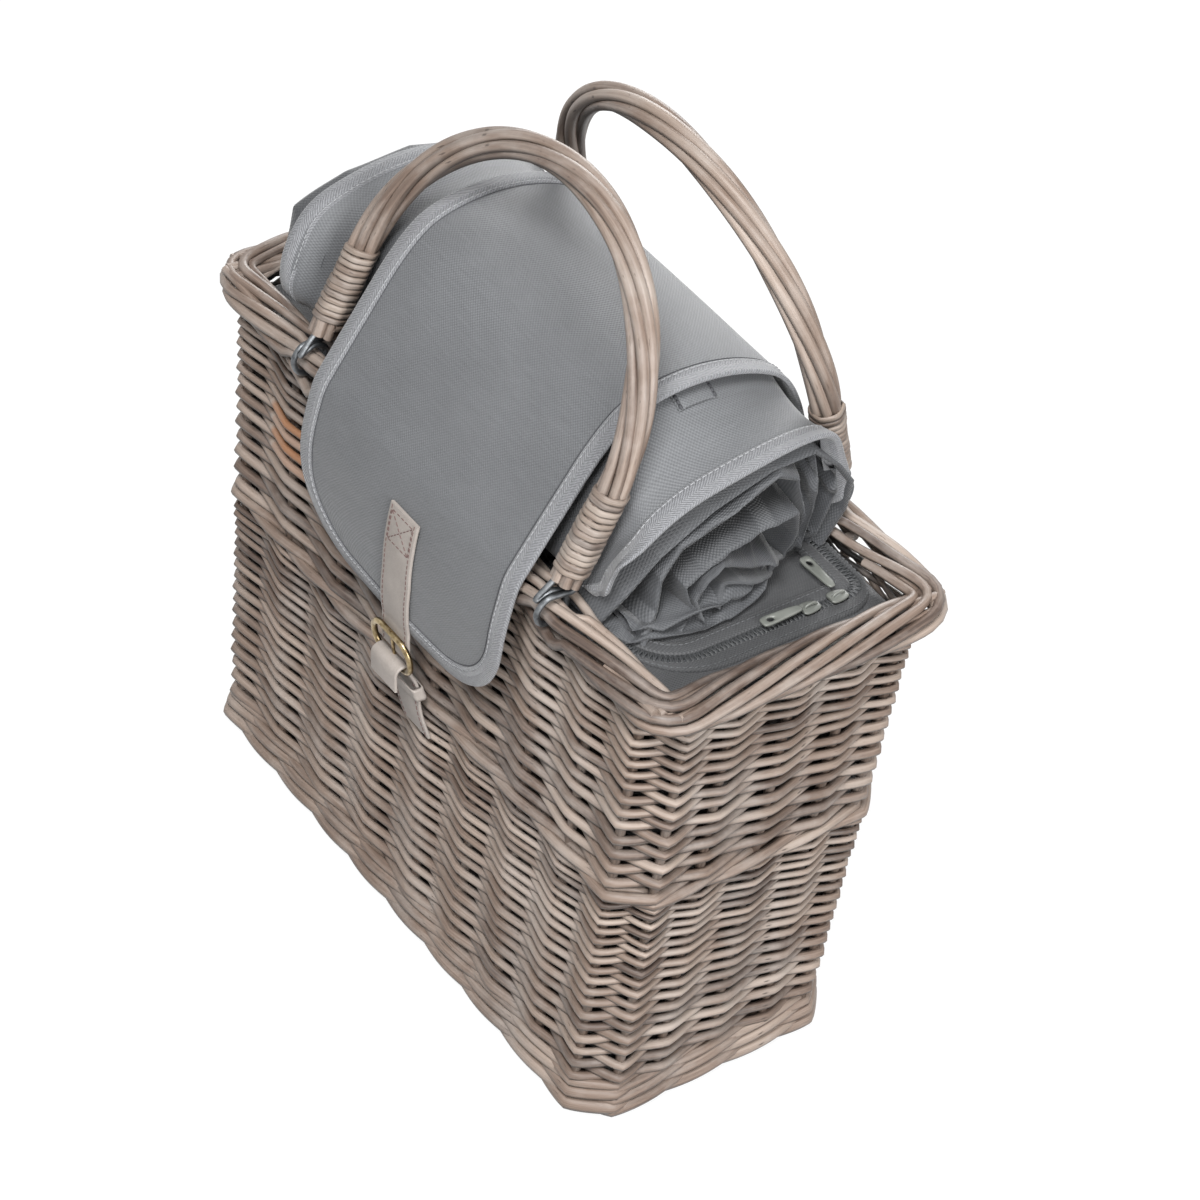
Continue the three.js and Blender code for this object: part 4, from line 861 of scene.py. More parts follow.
def cane_wrap(shape, x, axis, lean, seed):
    """One length of flat cane wound down a leg, close round its rods, its turns a little uneven."""
    steps = int(CANE_TURNS * 30)
    share = np.linspace(0, 1, steps)
    spin = math.tau * CANE_TURNS * share + seed
    pitch = (CANE_END - CANE_START) / CANE_TURNS
    height = lerp(CANE_START, CANE_END, share) + 0.5 * waves(share * 13, seed, 3)
    height = height + 0.16 * pitch * np.cos(spin + seed)
    twist = math.tau * HANDLE_TWISTS * (height - HOOP_FOOT) / HOOP_LONG
    rods = math.pi - twist if x < 0 else -twist
    ripple = np.cos(HANDLE_RODS * (spin - rods)) + waves(share * 17, seed, 4)
    radius = HANDLE_ORBIT + HANDLE_ROD_R + 0.25 * ripple
    across = np.linspace(-0.5, 0.5, 7)
    crown = CANE_THICK * np.maximum(1 - (2 * across) ** 4, 0) ** 0.5
    wide = 0.97 * pitch * (1 + 0.12 * waves(share * 8, seed, 6))
    inner = np.broadcast_to(radius[:, None] - 0.5, (steps, 2))
    r = np.concatenate([radius[:, None] + crown[None], inner], 1)
    level = height[:, None] + wide[:, None] * across[None]
    z = np.concatenate([level, level[:, [-1, 0]]], 1)
    points = np.stack([x + r * np.cos(spin)[:, None], r * np.sin(spin)[:, None], z], -1)
    tone = 0.55 + 0.35 * waves(share * 6, seed, 8)
    shape.grid(leaned(points, axis, lean), tone=tone, round_across=True)


def wire_ring(shape, x, axis, lean):
    """A wire hook: from the rods' cut ends one and a half turns round the border's rod, and up again."""
    turn = np.linspace(1.2 * math.pi, -1.75 * math.pi, 60)
    ring = np.column_stack([np.linspace(-2.6, 2.6, 60), RING_R * np.cos(turn), RING_R * np.sin(turn)])
    down = [(-0.8, -2.0, HOOP_FOOT + 9), (-1.6, -6.4, HOOP_FOOT - 2), (-2.6, -9.3, 4)]
    up = [(2.2, 6.5, HOOP_FOOT - 2), (1.2, 2.5, HOOP_FOOT + 9)]
    path = curve_through(np.concatenate([down, ring[6::6], up]), 6)
    path[:, 0] = x + np.sign(x) * path[:, 0]
    shape.rod(leaned(path, axis, lean), RING_WIRE_R, sides=10, up=(1, 0, 0))


def build_handle(name, joint, lean, seed):
    axis = joint_mm(joint)
    rods = handle_rods(axis, lean, seed).make(f"{name}_rods", [WILLOW])
    dress(rods, name, [f"{name}_rod_{i}" for i in (1, 2, 3)])
    for side, x in (("left", -HOOP_SPAN), ("right", HOOP_SPAN)):
        wrap = Shape()
        cane_wrap(wrap, x, axis, lean, seed + x / 50)
        dress(wrap.make(f"{name}_binding_{side}", [CANE]), name, [f"{name}_cane_{side}"])
        ring = Shape()
        wire_ring(ring, x, axis, lean)
        dress(ring.make(f"{name}_loop_{side}", [WIRE]), name, [f"{name}_ring_{side}"])


# Cool bag


def tub(name, node, thick, material):
    """One layer of the bag: a soft tub, its sides a little bowed."""
    points = node_points(node)
    low, high = box_mm(node)
    foot = np.abs(points[points[:, 2] < low[2] + 1][:, :2]).max(0)
    top = np.abs(points[points[:, 2] > high[2] - 1][:, :2]).max(0)
    levels = np.linspace(0, 1, 14)
    rows = []
    for inset, order in ((0, 1), (thick, -1)):
        floor = low[2] + inset
        skin = [(share, foot - inset, floor) for share in (0.02, 0.96)]
        skin += [(1.0, lerp(foot, top, t) - inset, lerp(floor + 1.5, high[2], t)) for t in levels]
        rows += skin[::order]
    grid = []
    for share, half, z in rows:
        ring = rounded_ring(*half, BAG_CORNER) * share
        bow = 0.35 * waves(ring[:, 0] / 90, z / 70, 12)
        ring = ring - unit(ring) * np.abs(bow)[:, None]
        grid.append(np.column_stack([ring, np.full(len(ring), z)]))
    piece = Shape().grid(np.array(grid), round_across=True).make(name, [material])
    dress(piece, "basket", [node])


def lid_layer(name, node, material, crown):
    """One layer of the lid: a flat pad with a rounded edge."""
    low, high = box_mm(node)
    half = (high - low)[:2] / 2
    edge = (high[2] - low[2]) / 2
    rows = [(s, low[2]) for s in (0.01, 0.5, 0.9, 0.99)]
    rows += [(1.0, low[2] + edge)]
    rows += [(s, high[2]) for s in (0.99, 0.9, 0.75, 0.5, 0.25, 0.01)]
    grid = []
    for share, z in rows:
        ring = rounded_ring(*half, BAG_CORNER, side_steps=40) * share
        lift = crown * waves(ring[:, 0] / 60, ring[:, 1] / 60, 4) if z == high[2] else np.zeros(len(ring))
        grid.append(np.column_stack([ring, z + np.minimum(lift, 0)]))
    piece = Shape().grid(np.array(grid), round_across=True).make(name, [material])
    dress(piece, "basket", [node])


LID_TOP = box_mm("lid_skin")[1][2]


def zip_line(spread, height):
    """The zip's course, spread outwards: along the front, round the right end and back along the rear."""
    low, high = box_mm("zip_coil")
    x, y = high[0] - 3 + spread, high[1] - 3 + min(spread, ZIP_EDGE)
    front, rear = (max(bend + spread, 2) for bend in ZIP_BENDS)
    turn = np.linspace(0, math.pi / 2, 16)
    line = spaced(np.concatenate([
        [(low[0], -y)], np.stack([x - front + front * np.sin(turn), -y + front - front * np.cos(turn)], 1),
        np.stack([x - rear + rear * np.cos(turn), y - rear + rear * np.sin(turn)], 1), [(low[0], y)]]), 170)
    return np.column_stack([line, np.full(len(line), LID_TOP + height)])


def build_zip():
    """A fine coil on its tape between two turned hems, each with a row of stitches."""
    zipper = Shape()
    zipper.grid(np.stack([zip_line(s, 0.35) for s in (-3.4, 3.4)], 1))
    for sign in (1, -1):
        zipper.grid(np.stack([zip_line(sign * s, h) for s, h in ZIP_HEM], 1), slot=1)
    line = spaced(zip_line(0, 1.2), 4000)
    line = spaced(line, int(run_of(line)[-1] / TOOTH_PITCH))
    along = unit(np.gradient(line, axis=0))
    side = np.cross(along, (0, 0, 1))
    for i, (p, d, n) in enumerate(zip(line, along, side)):
        slant = d * TOOTH_PITCH * (0.3 if i % 2 else -0.3)
        tooth = np.array([p + n * 2.3 + slant - (0, 0, 0.5), p + n * 1.4 + slant, p - n * 1.4 - slant,
                          p - n * 2.3 - slant - (0, 0, 0.5)])
        zipper.rod(tooth, 0.5, sides=6, up=(0, 0, 1), slot=2)
    for spread in (ZIP_SEAM, -ZIP_SEAM):
        stitches(zipper, zip_line(spread, 1.72), 3.0, 0.24, 3)
    piece = zipper.make("zip_tape", [SHADED_BLANKET, SHADED_BAG, NYLON, CANVAS])
    dress(piece, "basket", ["zip_coil"])


def build_slider(letter):
    """A zip slider: a wedge of two plates with a bridge over them."""
    low, high = box_mm(f"zip_slider_{letter}")
    middle = (low + high) / 2
    shape = Shape()
    t = np.linspace(-1, 1, 15)
    width = 4.0 - 0.9 * smooth((t + 0.2) / 1.2)
    path = np.column_stack([np.full(15, middle[0]), middle[1] + t * 5.2, np.full(15, low[2] + 0.75)])
    shape.rod(path, width * np.sqrt(1 - 0.55 * t**6), sides=14, flat=0.22, power=0.55)
    bridge = np.linspace(0, math.pi, 13)
    hoop = np.column_stack([np.full(13, middle[0]), middle[1] - 3.4 * np.cos(bridge),
                            low[2] + 1.2 + 2.0 * np.sin(bridge)])
    shape.rod(hoop, 0.75, sides=8, up=(1, 0, 0))
    name = f"slider_{letter}"
    dress(shape.make(name, [ZIP_METAL]), name, [f"zip_{name}"])


def build_pull(letter):
    """A zip pull: a tapered plate with a hole at its end and an eye at the slider."""
    low, high = box_mm(f"zip_pull_{letter}")
    along = 1 if letter == "a" else 0
    across = 1 - along
    z = (low[2] + high[2]) / 2
    count = 40
    turn = math.tau * np.arange(count) / count
    length = high[along] - low[along]
    half = (high[across] - low[across]) / 2
    middle = (low[across] + high[across]) / 2
    hole = low[along] + 5.2
    outer_u = low[along] + length / 2 + length / 2 * np.sign(np.cos(turn)) * np.abs(np.cos(turn)) ** 0.35
    taper = lerp(1.0, 0.62, (outer_u - low[along]) / length)
    outer_v = middle + half * taper * np.sign(np.sin(turn)) * np.abs(np.sin(turn)) ** 0.45
    inner_u = hole + 2.1 * np.cos(turn)
    inner_v = middle + 1.6 * np.sin(turn)

    def level(share, height):
        u, v = lerp(inner_u, outer_u, share), lerp(inner_v, outer_v, share)
        points = np.zeros((count, 3))
        points[:, along], points[:, across], points[:, 2] = u, v, z + height
        return points

    shape = Shape().grid([level(*at) for at in PULL_SECTION], round_across=True, round_along=True)
    name = f"pull_{letter}"
    dress(shape.make(name, [ZIP_METAL]), name, [f"zip_{name}"])


def build_bag():
    looks = ((SHADED_BAG, "canvas"), (FOAM, "foam"), (LINING, "lining"))
    for (layer, thick, fill), (material, slot) in zip(BAG_LAYERS, looks):
        tub(f"cool_bag_{layer}", f"bag_{layer}", thick, material)
    lid_layer("lid_lining_pad", "lid_lining", LINING, 0.1)
    lid_layer("lid_foam_pad", "lid_foam", FOAM, 0.2)
    lid_layer("lid_cover", "lid_skin", SHADED_BAG, 0.9)
    build_zip()
    for letter in "ab":
        build_slider(letter)
        build_pull(letter)


# Rolled blanket

FRONT_AXIS = joint_mm("front_handle_swing")
ROLL_Z = LID_TOP + 0.3 + ROLL_HALF_HIGH - ROLL_FLAT
WRAP_LEFT, WRAP_RIGHT = (box_mm("blanket_wrap")[i][0] for i in (0, 1))


def roll_skin(x, angle, lift):
    """A point of the roll's skin: an ellipse, pressed in by the handles, fuller between them, flat below."""
    x, angle, lift = np.broadcast_arrays(np.asarray(x, float), angle, lift)
    far, top = np.abs(x), np.maximum(0, np.sin(angle))
    swell = ROLL_SWELL * (1 - smooth((far - BETWEEN_LEGS) / (HOOP_SPAN + LEG_CLEAR - BETWEEN_LEGS)))
    skew = SKEW_RIGHT * smooth((x - 85) / 45) + SKEW_LEFT * smooth((-x - 100) / 45)
    y = ROLL_Y + (ROLL_HALF_WIDE + lift) * np.cos(angle)
    z = ROLL_Z + (ROLL_HALF_HIGH + lift) * np.sin(angle) + top * (swell + skew * (y - 25))
    near = smooth((far - BETWEEN_LEGS) / (HOOP_SPAN - LEG_CLEAR - BETWEEN_LEGS))
    past = smooth((LEG_REACH + HOOP_SPAN - far) / (LEG_REACH - LEG_CLEAR))
    for side, lean in ((-1, FRONT_LEAN), (1, REAR_LEAN)):
        c, s = math.cos(math.radians(lean)), math.sin(math.radians(lean))
        over = LEG_CLEAR - lift - (-FRONT_AXIS[1] - side * y) * c + (z - FRONT_AXIS[2]) * s
        push = past * lerp(FREE_PRESS, 1, near) * (over + np.sqrt(over**2 + PRESS_SOFT**2)) / 2
        y = y - side * push * c
        z = z - push * s
    return np.stack([x, y, np.maximum(z, LID_TOP + 0.5 + np.maximum(lift, 0))], -1)


def wrap_end(angle, right):
    """Where the wrap ends along X: a little wavy, and drawn in at the bottom of its right end."""
    wave = 1.6 * waves(np.cos(angle) * 0.8, np.sin(angle) * 0.8, 21 if right else 22)
    if right:
        up = np.sin(angle)
        return WRAP_RIGHT - 3 + wave + 4 * np.maximum(0, up) - 12 * smooth((-0.15 - up) / 0.4)
    return WRAP_LEFT + 1.5 + wave


def wrinkle(x, angle):
    """How far the wrap stands off its even skin, more towards its ends."""
    near = np.minimum(np.abs(x - WRAP_RIGHT), np.abs(x - WRAP_LEFT))
    long_wave = waves(x / 130 + 0.4 * np.cos(angle), 0.7 * np.sin(angle), 5)
    pucker = waves(x / 60 + 0.9 * np.cos(angle), 1.4 * np.sin(angle), 6)
    return 0.8 * long_wave + np.exp(-near / 35) * (1.1 * pucker + 0.6)


def wrap_point(share, angle, lift):
    """A point of the wrap: share runs from its left end to its right end."""
    x = lerp(wrap_end(angle, False), wrap_end(angle, True), share)
    return roll_skin(x, angle, lift + wrinkle(x, angle) * (np.sin(angle) > -0.8))


def build_wrap():
    angle = np.linspace(0, math.tau, 145)[:-1]
    share = np.linspace(0, 1, 120)
    length = WRAP_RIGHT - WRAP_LEFT
    points = wrap_point(share[:, None], angle[None], -0.7)
    shape = Shape().grid(points, along=share * length, round_across=True)
    wrap = thicken(shape.make("roll_wrap", [CANVAS]), CLOTH, 1.0)
    dress(wrap, "basket", ["blanket_wrap"])
    for name, at, step in (("left", 0.0, 1), ("right", 1.0, -1)):
        rows = []
        for inset, lift in ((8, -2.4), (0.5, -2.4), (-0.8, -1.7), (-1.2, -0.6), (-0.8, 0.5), (0.5, 1.0),
                            (TAPE_WIDE * 0.5, 1.2), (TAPE_WIDE - 0.6, 1.1), (TAPE_WIDE, 0.1)):
            rows.append(wrap_point(at + step * inset / length, angle, lift))
        tape = Shape().grid(np.stack(rows, 1), round_along=True)
        seam = wrap_point(at + step * (TAPE_WIDE - 1.6) / length, np.append(angle, 0), 1.15)
        stitches(tape, seam, SEAM_PITCH, THREAD_R, 1)
        edge = wrap_point(at + step * (TAPE_WIDE + 0.5) / length, np.append(angle, 0), 0.25)
        tape.rod(edge, THREAD_R, sides=5, slot=2)
        piece = tape.make(f"wrap_binding_{name}", [TAPE, THREAD, DARK_THREAD])
        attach(piece, "basket")


def build_blanket():
    """The blanket's two ends: crumpled folds that come out on the right, a creased bulge on the left."""
    shape = Shape()
    layered_end(shape)
    for number, corners in enumerate(LOOSE_FOLDS):
        loose_fold(shape, corners, 40 + number)
    bulge_end(shape)
    piece = shape.make("rolled_blanket", [SHADED_BLANKET])
    dress(piece, "basket", ["blanket_roll"])


def cornered(corners, count):
    """A line that runs straight from corner to corner."""
    steps = np.arange(len(corners))
    return sampled(np.linspace(0, steps[-1], count), steps, np.array(corners, float))


def layered_end(shape):
    """Layers at the right end: each lip hangs over a deep crease, where the next layer starts, and painted
    shade darkens the creases.
    """
    lips = [cornered(corners, LIP_POINTS) for corners in BLANKET_LIPS]
    # The tones paint shade: 0 darkens the hollows, the fold going back and the middle; 0.5 leaves the lips
    # as they are.
    rows, tones = [lips[0] - (FOLD_BACK, 0, 0), lips[0]], [0.0, 0.5]
    for number, (outer, inner) in enumerate(zip(lips, lips[1:])):
        under = lerp(outer, inner, 0.10)
        hollow = lerp(outer, inner, 0.22)
        hollow[:, 0] = outer[:, 0] - LIP_DEEP
        rows += [under - (0.6, 0, 0), hollow]
        tones += [0.4, 0.0]
        for t in np.linspace(0, 1, 19)[1:]:
            flank = lerp(hollow, inner, t)
            flank[:, 0] = lerp(hollow[:, 0], inner[:, 0], t**1.2)
            crease = folds(flank[:, 1] / 30 + number * 0.37, flank[:, 2] / 26, 51 + number) - 0.5
            small = folds(flank[:, 2] / 17 + number * 0.61, flank[:, 1] / 13, 81 + number) - 0.5
            flank[:, 0] += (14 * crease + 6 * small) * t * (1.3 - t)
            flank[:, 2] += 5 * crease * (1 - t) * t
            rows.append(flank)
            # painted shade on each flank, fading out near the next lip
            tones.append(0.5 * smooth((t - 0.70) / 0.29))
    rows.append(np.broadcast_to(lips[-1].mean(0) - (9, 0, 3), lips[-1].shape))
    tones.append(0.0)
    points = np.stack(rows)
    points[..., 2] = np.maximum(points[..., 2], LID_TOP + 0.8)
    shape.grid(points, tone=np.array(tones))


def loose_fold(shape, corners, seed):
    """One folded edge of the blanket, straight between sharp corners, going back into the roll."""
    edge = cornered(corners, 20 * len(corners))
    along = np.linspace(0, len(corners), len(edge))
    normal = np.cross(np.gradient(edge, axis=0), (1, 0, 0))
    for _ in range(6):
        normal[1:-1] = (normal[:-2] + normal[1:-1] + normal[2:]) / 3
    normal = unit(normal)
    half = (2.4 + 1.0 * waves(along * 0.4, 0, seed)) * smooth(0.15 + np.minimum(along, along[-1] - along))
    rows, shares = [], np.linspace(-1, 1, FOLD_ROWS)
    for p in shares:
        depth = 1 - math.sqrt(max(1 - abs(p) ** 2, 0))
        crease = folds(along * 0.55 + 0.2 * p, 0.9 * p + seed, seed) - 0.5
        off = half * math.copysign(abs(p) ** 0.55, p) + crease * 6 * min(1, 3 * abs(p))
        points = edge - np.array([FOLD_BACK * depth**0.8, 0, 0]) + normal * off[:, None]
        points[:, 0] += 3 * crease * (1 - depth)
        points[:, 2] = np.maximum(points[:, 2], LID_TOP + 0.8)
        rows.append(points)
    # painted shade: the fold darkens away from its edge, where it goes back into the roll
    shape.grid(rows[::-1], tone=0.5 * smooth((1 - np.abs(shares)) / 0.45))


def bulge_end(shape):
    """The left end: the blanket's last turn stands out of the wrap in flat facets and is tucked in."""
    angle = np.linspace(0, math.tau, 181)[:-1]
    corners = np.radians(BULGE_CORNERS)
    skin = roll_skin(WRAP_LEFT, angle, -3)
    knots = roll_skin(WRAP_LEFT, corners, -2)
    flat = np.stack([np.interp(angle, corners, knots[:, k], period=math.tau) for k in range(3)], 1)
    jut = np.interp(angle, corners, RANDOM.uniform(-3, 4, len(corners)), period=math.tau)
    pleat = np.interp(angle, corners, RANDOM.uniform(-0.12, 0.12, len(corners)), period=math.tau)
    centre = np.array([0, ROLL_Y, ROLL_Z])
    rows = []
    for x, share, facet in BULGE_ROWS:
        tuck = share * (1 + pleat * smooth((0.9 - share) / 0.3))
        points = centre + (lerp(skin, flat, facet) - centre) * tuck[:, None]
        points[:, 0] = wrap_end(angle, False) + x - jut * smooth(-x / 10) * share
        points[:, 2] = np.maximum(points[:, 2], LID_TOP + 1.2)
        rows.append(points)
    shape.grid(np.stack(rows), round_across=True)


# Flap over the roll

RIM_LOW, RIM_HIGH = box_mm("rim_front")


def flap_line():
    """The flap's run in Y and Z: up behind the roll, over it, on to the border's outer rod and down."""
    over = roll_skin(0, np.radians(np.linspace(-45, FLAP_LEAVE, 90)), FLAP_LIFT + 0.6)[:, 1:]
    rod = np.array([RIM_LOW[1] + RIM_ROD_R, RIM_HIGH[2] - RIM_ROD_R])
    r = RIM_ROD_R + FLAP_LIFT
    bend = np.radians(np.linspace(FLAP_TOUCH, 180, 10))
    edge = rod + r * np.stack([np.cos(bend), np.sin(bend)], 1)
    down = np.linspace(0, 1, 30)[1:]
    bulge = TONGUE_BULGE * np.sin(math.pi * down) ** 0.9
    tongue = np.stack([rod[0] - r - bulge, rod[1] - TONGUE_LONG * down], 1)
    line = spaced(np.concatenate([over, edge, tongue]), 260)
    for _ in range(12):
        line[1:-1] = (line[:-2] + 2 * line[1:-1] + line[2:]) / 4
    return line


FLAP = flap_line()
FLAP_RUN = run_of(FLAP)
FLAP_LONG = FLAP_RUN[-1]


def on_flap(x, s, height):
    """A point at x across and s along the flap, height above the middle of its cloth."""
    x, s = np.broadcast_arrays(np.asarray(x, float), np.asarray(s, float))
    step = 1.5
    (y, z), after, before = ([np.interp(at, FLAP_RUN, v) for v in FLAP.T] for at in (s, s + step, s - step))
    dy, dz = after[0] - before[0], after[1] - before[1]
    size = np.maximum(np.hypot(dy, dz), 1e-9)
    tongue = smooth((s - (FLAP_LONG - TONGUE_LONG)) / 40)
    wave = 0.7 * waves(x / 150, s / 160, 61) + tongue * 0.9 * np.maximum(waves(x / 110, s / 90, 62), -0.6)
    rise = height + np.maximum(wave, -0.5)
    return np.stack([x, y + dz / size * rise, z - dy / size * rise], -1)


def flap_edge():
    """The flap's bound edge laid flat: down the left, round the tongue's corners and up the right."""
    w, r, end = FLAP_HALF_WIDE, TONGUE_CORNER, FLAP_LONG
    turn = np.linspace(0, math.pi / 2, 24)
    left = np.stack([-w + r - r * np.cos(turn), end - r + r * np.sin(turn)], 1)
    right = np.stack([w - r + r * np.sin(turn), end - r + r * np.cos(turn)], 1)
    line = np.concatenate([[[-w, 0]], left, right, [[w, 0]]])
    return spaced(line, 320)


def along_edge(inset, height):
    """A line along the flap's edge, inset from it and raised from the middle of the cloth."""
    line = flap_edge()
    along = unit(np.gradient(line, axis=0))
    line = line + np.stack([along[:, 1], -along[:, 0]], 1) * inset
    return on_flap(line[:, 0], line[:, 1], height)


def build_flap():
    s = np.linspace(0, FLAP_LONG, 170)
    drop = np.maximum(0, s - (FLAP_LONG - TONGUE_CORNER))
    half = FLAP_HALF_WIDE - TONGUE_CORNER + np.sqrt(np.maximum(TONGUE_CORNER**2 - drop**2, 0))
    across = np.linspace(-1, 1, 61)
    x = half[:, None] * across[None]
    shape = Shape()
    shape.grid(on_flap(x, s[:, None], CLOTH / 2), along=s, across=across * FLAP_HALF_WIDE)
    shape.grid(on_flap(x, s[:, None], -CLOTH / 2)[:, ::-1], along=s, across=across * FLAP_HALF_WIDE)
    h = CLOTH / 2
    binding = (
        (TAPE_WIDE - 1, -h - 0.1), (0.3, -h - 0.5), (-0.6, -h - 0.1), (-0.9, 0), (-0.6, h + 0.2),
        (0.4, h + 0.6), (TAPE_WIDE * 0.5, h + 0.65), (TAPE_WIDE - 0.7, h + 0.55), (TAPE_WIDE, h),
    )
    shape.grid(np.stack([along_edge(*at) for at in binding], 1)[:, ::-1], slot=1)
    stitches(shape, along_edge(TAPE_WIDE - 1.7, h + 0.75), SEAM_PITCH, THREAD_R, 2)
    shape.rod(along_edge(TAPE_WIDE + 0.4, h + 0.05), THREAD_R, sides=5, slot=3)
    flap = shape.make("canvas_flap", [CANVAS, TAPE, THREAD, DARK_THREAD])
    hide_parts("flap_cover", "flap_tongue")
    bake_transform(flap)


def build_tabs():
    """Small webbing loops sewn on the wrap, half under the flap's edges."""
    for name, side in (("left", -1), ("right", 1)):
        low, high = box_mm(f"wrap_tab_{name}")
        x = side * np.linspace(FLAP_HALF_WIDE - 6, FLAP_HALF_WIDE + 3, 12)
        angle = np.arccos((np.linspace(high[1], low[1], 18) - ROLL_Y) / ROLL_HALF_WIDE)
        arch = 1.1 + 1.2 * (1 - np.abs(np.linspace(-1, 1, 18)) ** 4)
        points = roll_skin(x[None], angle[:, None], arch[:, None])
        shape = Shape().grid(points)
        for row in (1, 16):
            stitches(shape, points[row] + (0, 0, 0.8), 2.4, THREAD_R, 1)
        piece = thicken(shape.make(f"webbing_tab_{name}", [CANVAS, DARK_THREAD]), 1.2)
        dress(piece, "basket", [f"wrap_tab_{name}"])


# Leather strap and buckle


def strap(shape, path, half, thick):
    """A flat strap with rounded edges along a path, its width along X. Gives its outward directions."""
    out = unit(np.cross(np.gradient(path, axis=0), (1, 0, 0)))
    turn = np.linspace(-math.pi / 2, math.pi / 2, 7)
    e = thick / 2
    v = np.concatenate([half - e + e * np.cos(turn), -half + e - e * np.cos(turn)])
    h = np.concatenate([e * np.sin(turn), -e * np.sin(turn)])
    wide = np.array([1.0, 0, 0])
    rings = path[:, None] + v[None, :, None] * wide + h[None, :, None] * out[:, None]
    shape.grid(rings, round_across=True)
    shape.fan(rings[0][::-1], path[0])
    shape.fan(rings[-1], path[-1])
    return out


def edge_seams(shape, face, off):
    """A row of stitches along both edges of a strap's face."""
    for side in (-off, off):
        stitches(shape, face + (side, 0, 0), SEAM_PITCH, STRAP_THREAD_R, 1, up=(0, -1, 0))


BUCKLE_LOW, BUCKLE_HIGH = box_mm("buckle_frame")
BAR = joint_mm("prong_swing")


def strap_line():
    """The strap's middle line on the tongue, down to the buckle's frame."""
    height = CLOTH / 2 + 0.6 + STRAP_THICK / 2
    s = np.linspace(FLAP_LONG - (STRAP_TOP - (RIM_HIGH[2] - RIM_ROD_R - TONGUE_LONG)), FLAP_LONG, 40)
    on = on_flap(np.full(40, STRAP_X), s, height)
    end = box_mm("strap_upper")[0][2] + 2
    last = on[-1]
    target = BUCKLE_HIGH[1] + STRAP_THICK / 2 + 0.2
    tail = np.column_stack([np.full(12, STRAP_X), lerp(last[1], target, smooth(np.linspace(0, 1, 12))),
                            np.linspace(last[2], end, 12)])[1:]
    return np.concatenate([on, tail])


def build_strap():
    shape = Shape()
    line = strap_line()
    out = strap(shape, line, STRAP_HALF, STRAP_THICK)
    face = line + out * (STRAP_THICK / 2 + 0.05)
    edge_seams(shape, face, STRAP_HALF - 2.4)
    run = run_of(line)

    def at(x, s):
        return np.array([STRAP_X + x, *(np.interp(s, run, face[:, i]) for i in (1, 2))])

    box = STRAP_HALF - 3.2
    corners = [(-box, 3), (box, 3), (box, 3 + 2 * box), (-box, 3 + 2 * box)]
    for a, b in ((0, 1), (1, 2), (2, 3), (3, 0), (0, 2), (1, 3)):
        ends = [lerp(np.array(corners[a]), np.array(corners[b]), t) for t in np.linspace(0, 1, 8)]
        stitches(shape, np.array([at(*p) for p in ends]), 3.0, STRAP_THREAD_R, 1, up=(0, -1, 0))
    dress(shape.make("strap", [LEATHER, LEATHER_THREAD]), "flap", ["strap_upper"])


def build_buckle():
    """A rounded frame of drawn brass, and its prong hooked on the lower bar."""
    middle = (BUCKLE_LOW + BUCKLE_HIGH) / 2
    half = (BUCKLE_HIGH - BUCKLE_LOW) / 2
    ring = rounded_ring(half[0] - 1.8, half[2] - 1.8, 9, 12, 8)
    tilt = BUCKLE_TILT * ring[:, 1] / half[2]
    path = np.column_stack([middle[0] + ring[:, 0], middle[1] - tilt, middle[2] + ring[:, 1]])
    shape = Shape().rod(path, BUCKLE_ROD_R, sides=12, up=(0, 1, 0), flat=0.85, closed=True)
    dress(shape.make("buckle", [BRASS]), "flap", ["buckle_frame"])
    prong = Shape()
    turn = np.linspace(-0.4 * math.pi, 1.35 * math.pi, 30)
    _, high = box_mm("buckle_prong")
    hook = np.stack([BAR[1] - PRONG_EYE * np.sin(turn), BAR[2] - PRONG_EYE * np.cos(turn)], 1)[::-1]
    shaft = np.linspace(hook[-1] - (0.1, 0), (BUCKLE_LOW[1] - 0.8, high[2] + 0.3), 14)
    line = spaced(np.concatenate([hook, shaft[1:]]), 60)
    path = np.column_stack([np.full(60, STRAP_X), line])
    prong.rod(path, np.linspace(1.1, 0.85, 60), sides=10, up=(1, 0, 0))
    dress(prong.make("prong", [BRASS]), "prong", ["buckle_prong"])


def build_tail():
    """The strap's lower end: folded over the buckle's bar, through its keeper and down the wall."""
    low, high = box_mm("strap_tail")
    r = TAIL_FOLD
    turn = np.linspace(math.pi, 0, 14)
    fold = np.stack([BAR[1] + r * np.cos(turn), BAR[2] + r * np.sin(turn)], 1)
    front = np.stack([np.full(5, BAR[1] - r - 0.2), np.linspace(BAR[2] - 9.5, BAR[2] - 1, 5)], 1)
    wall = high[1] - 0.8
    back = curve_through([(BAR[1] + r, BAR[2] - 0.5), (lerp(BAR[1] + r, wall, 0.45), BAR[2] - 12),
                          (wall - 5.5, BAR[2] - 23), (wall - 3.6, BAR[2] - 33), (wall, low[2] + 1)], 8)
    line = spaced(np.concatenate([front, fold, back]), TAIL_STEPS)
    x = STRAP_X + TAIL_SLOPE * np.maximum(0, BAR[2] - line[:, 1])
    path = np.column_stack([x, line])
    shape = Shape()
    out = strap(shape, path, STRAP_HALF - 0.6, STRAP_THICK * 0.9)
    face = (path + out * STRAP_THICK * 0.5)[TAIL_SEAM:]
    edge_seams(shape, face, STRAP_HALF - 3)
    tail = shape.make("strap_end", [LEATHER, LEATHER_THREAD])
    dress(tail, "tail", ["strap_tail"])


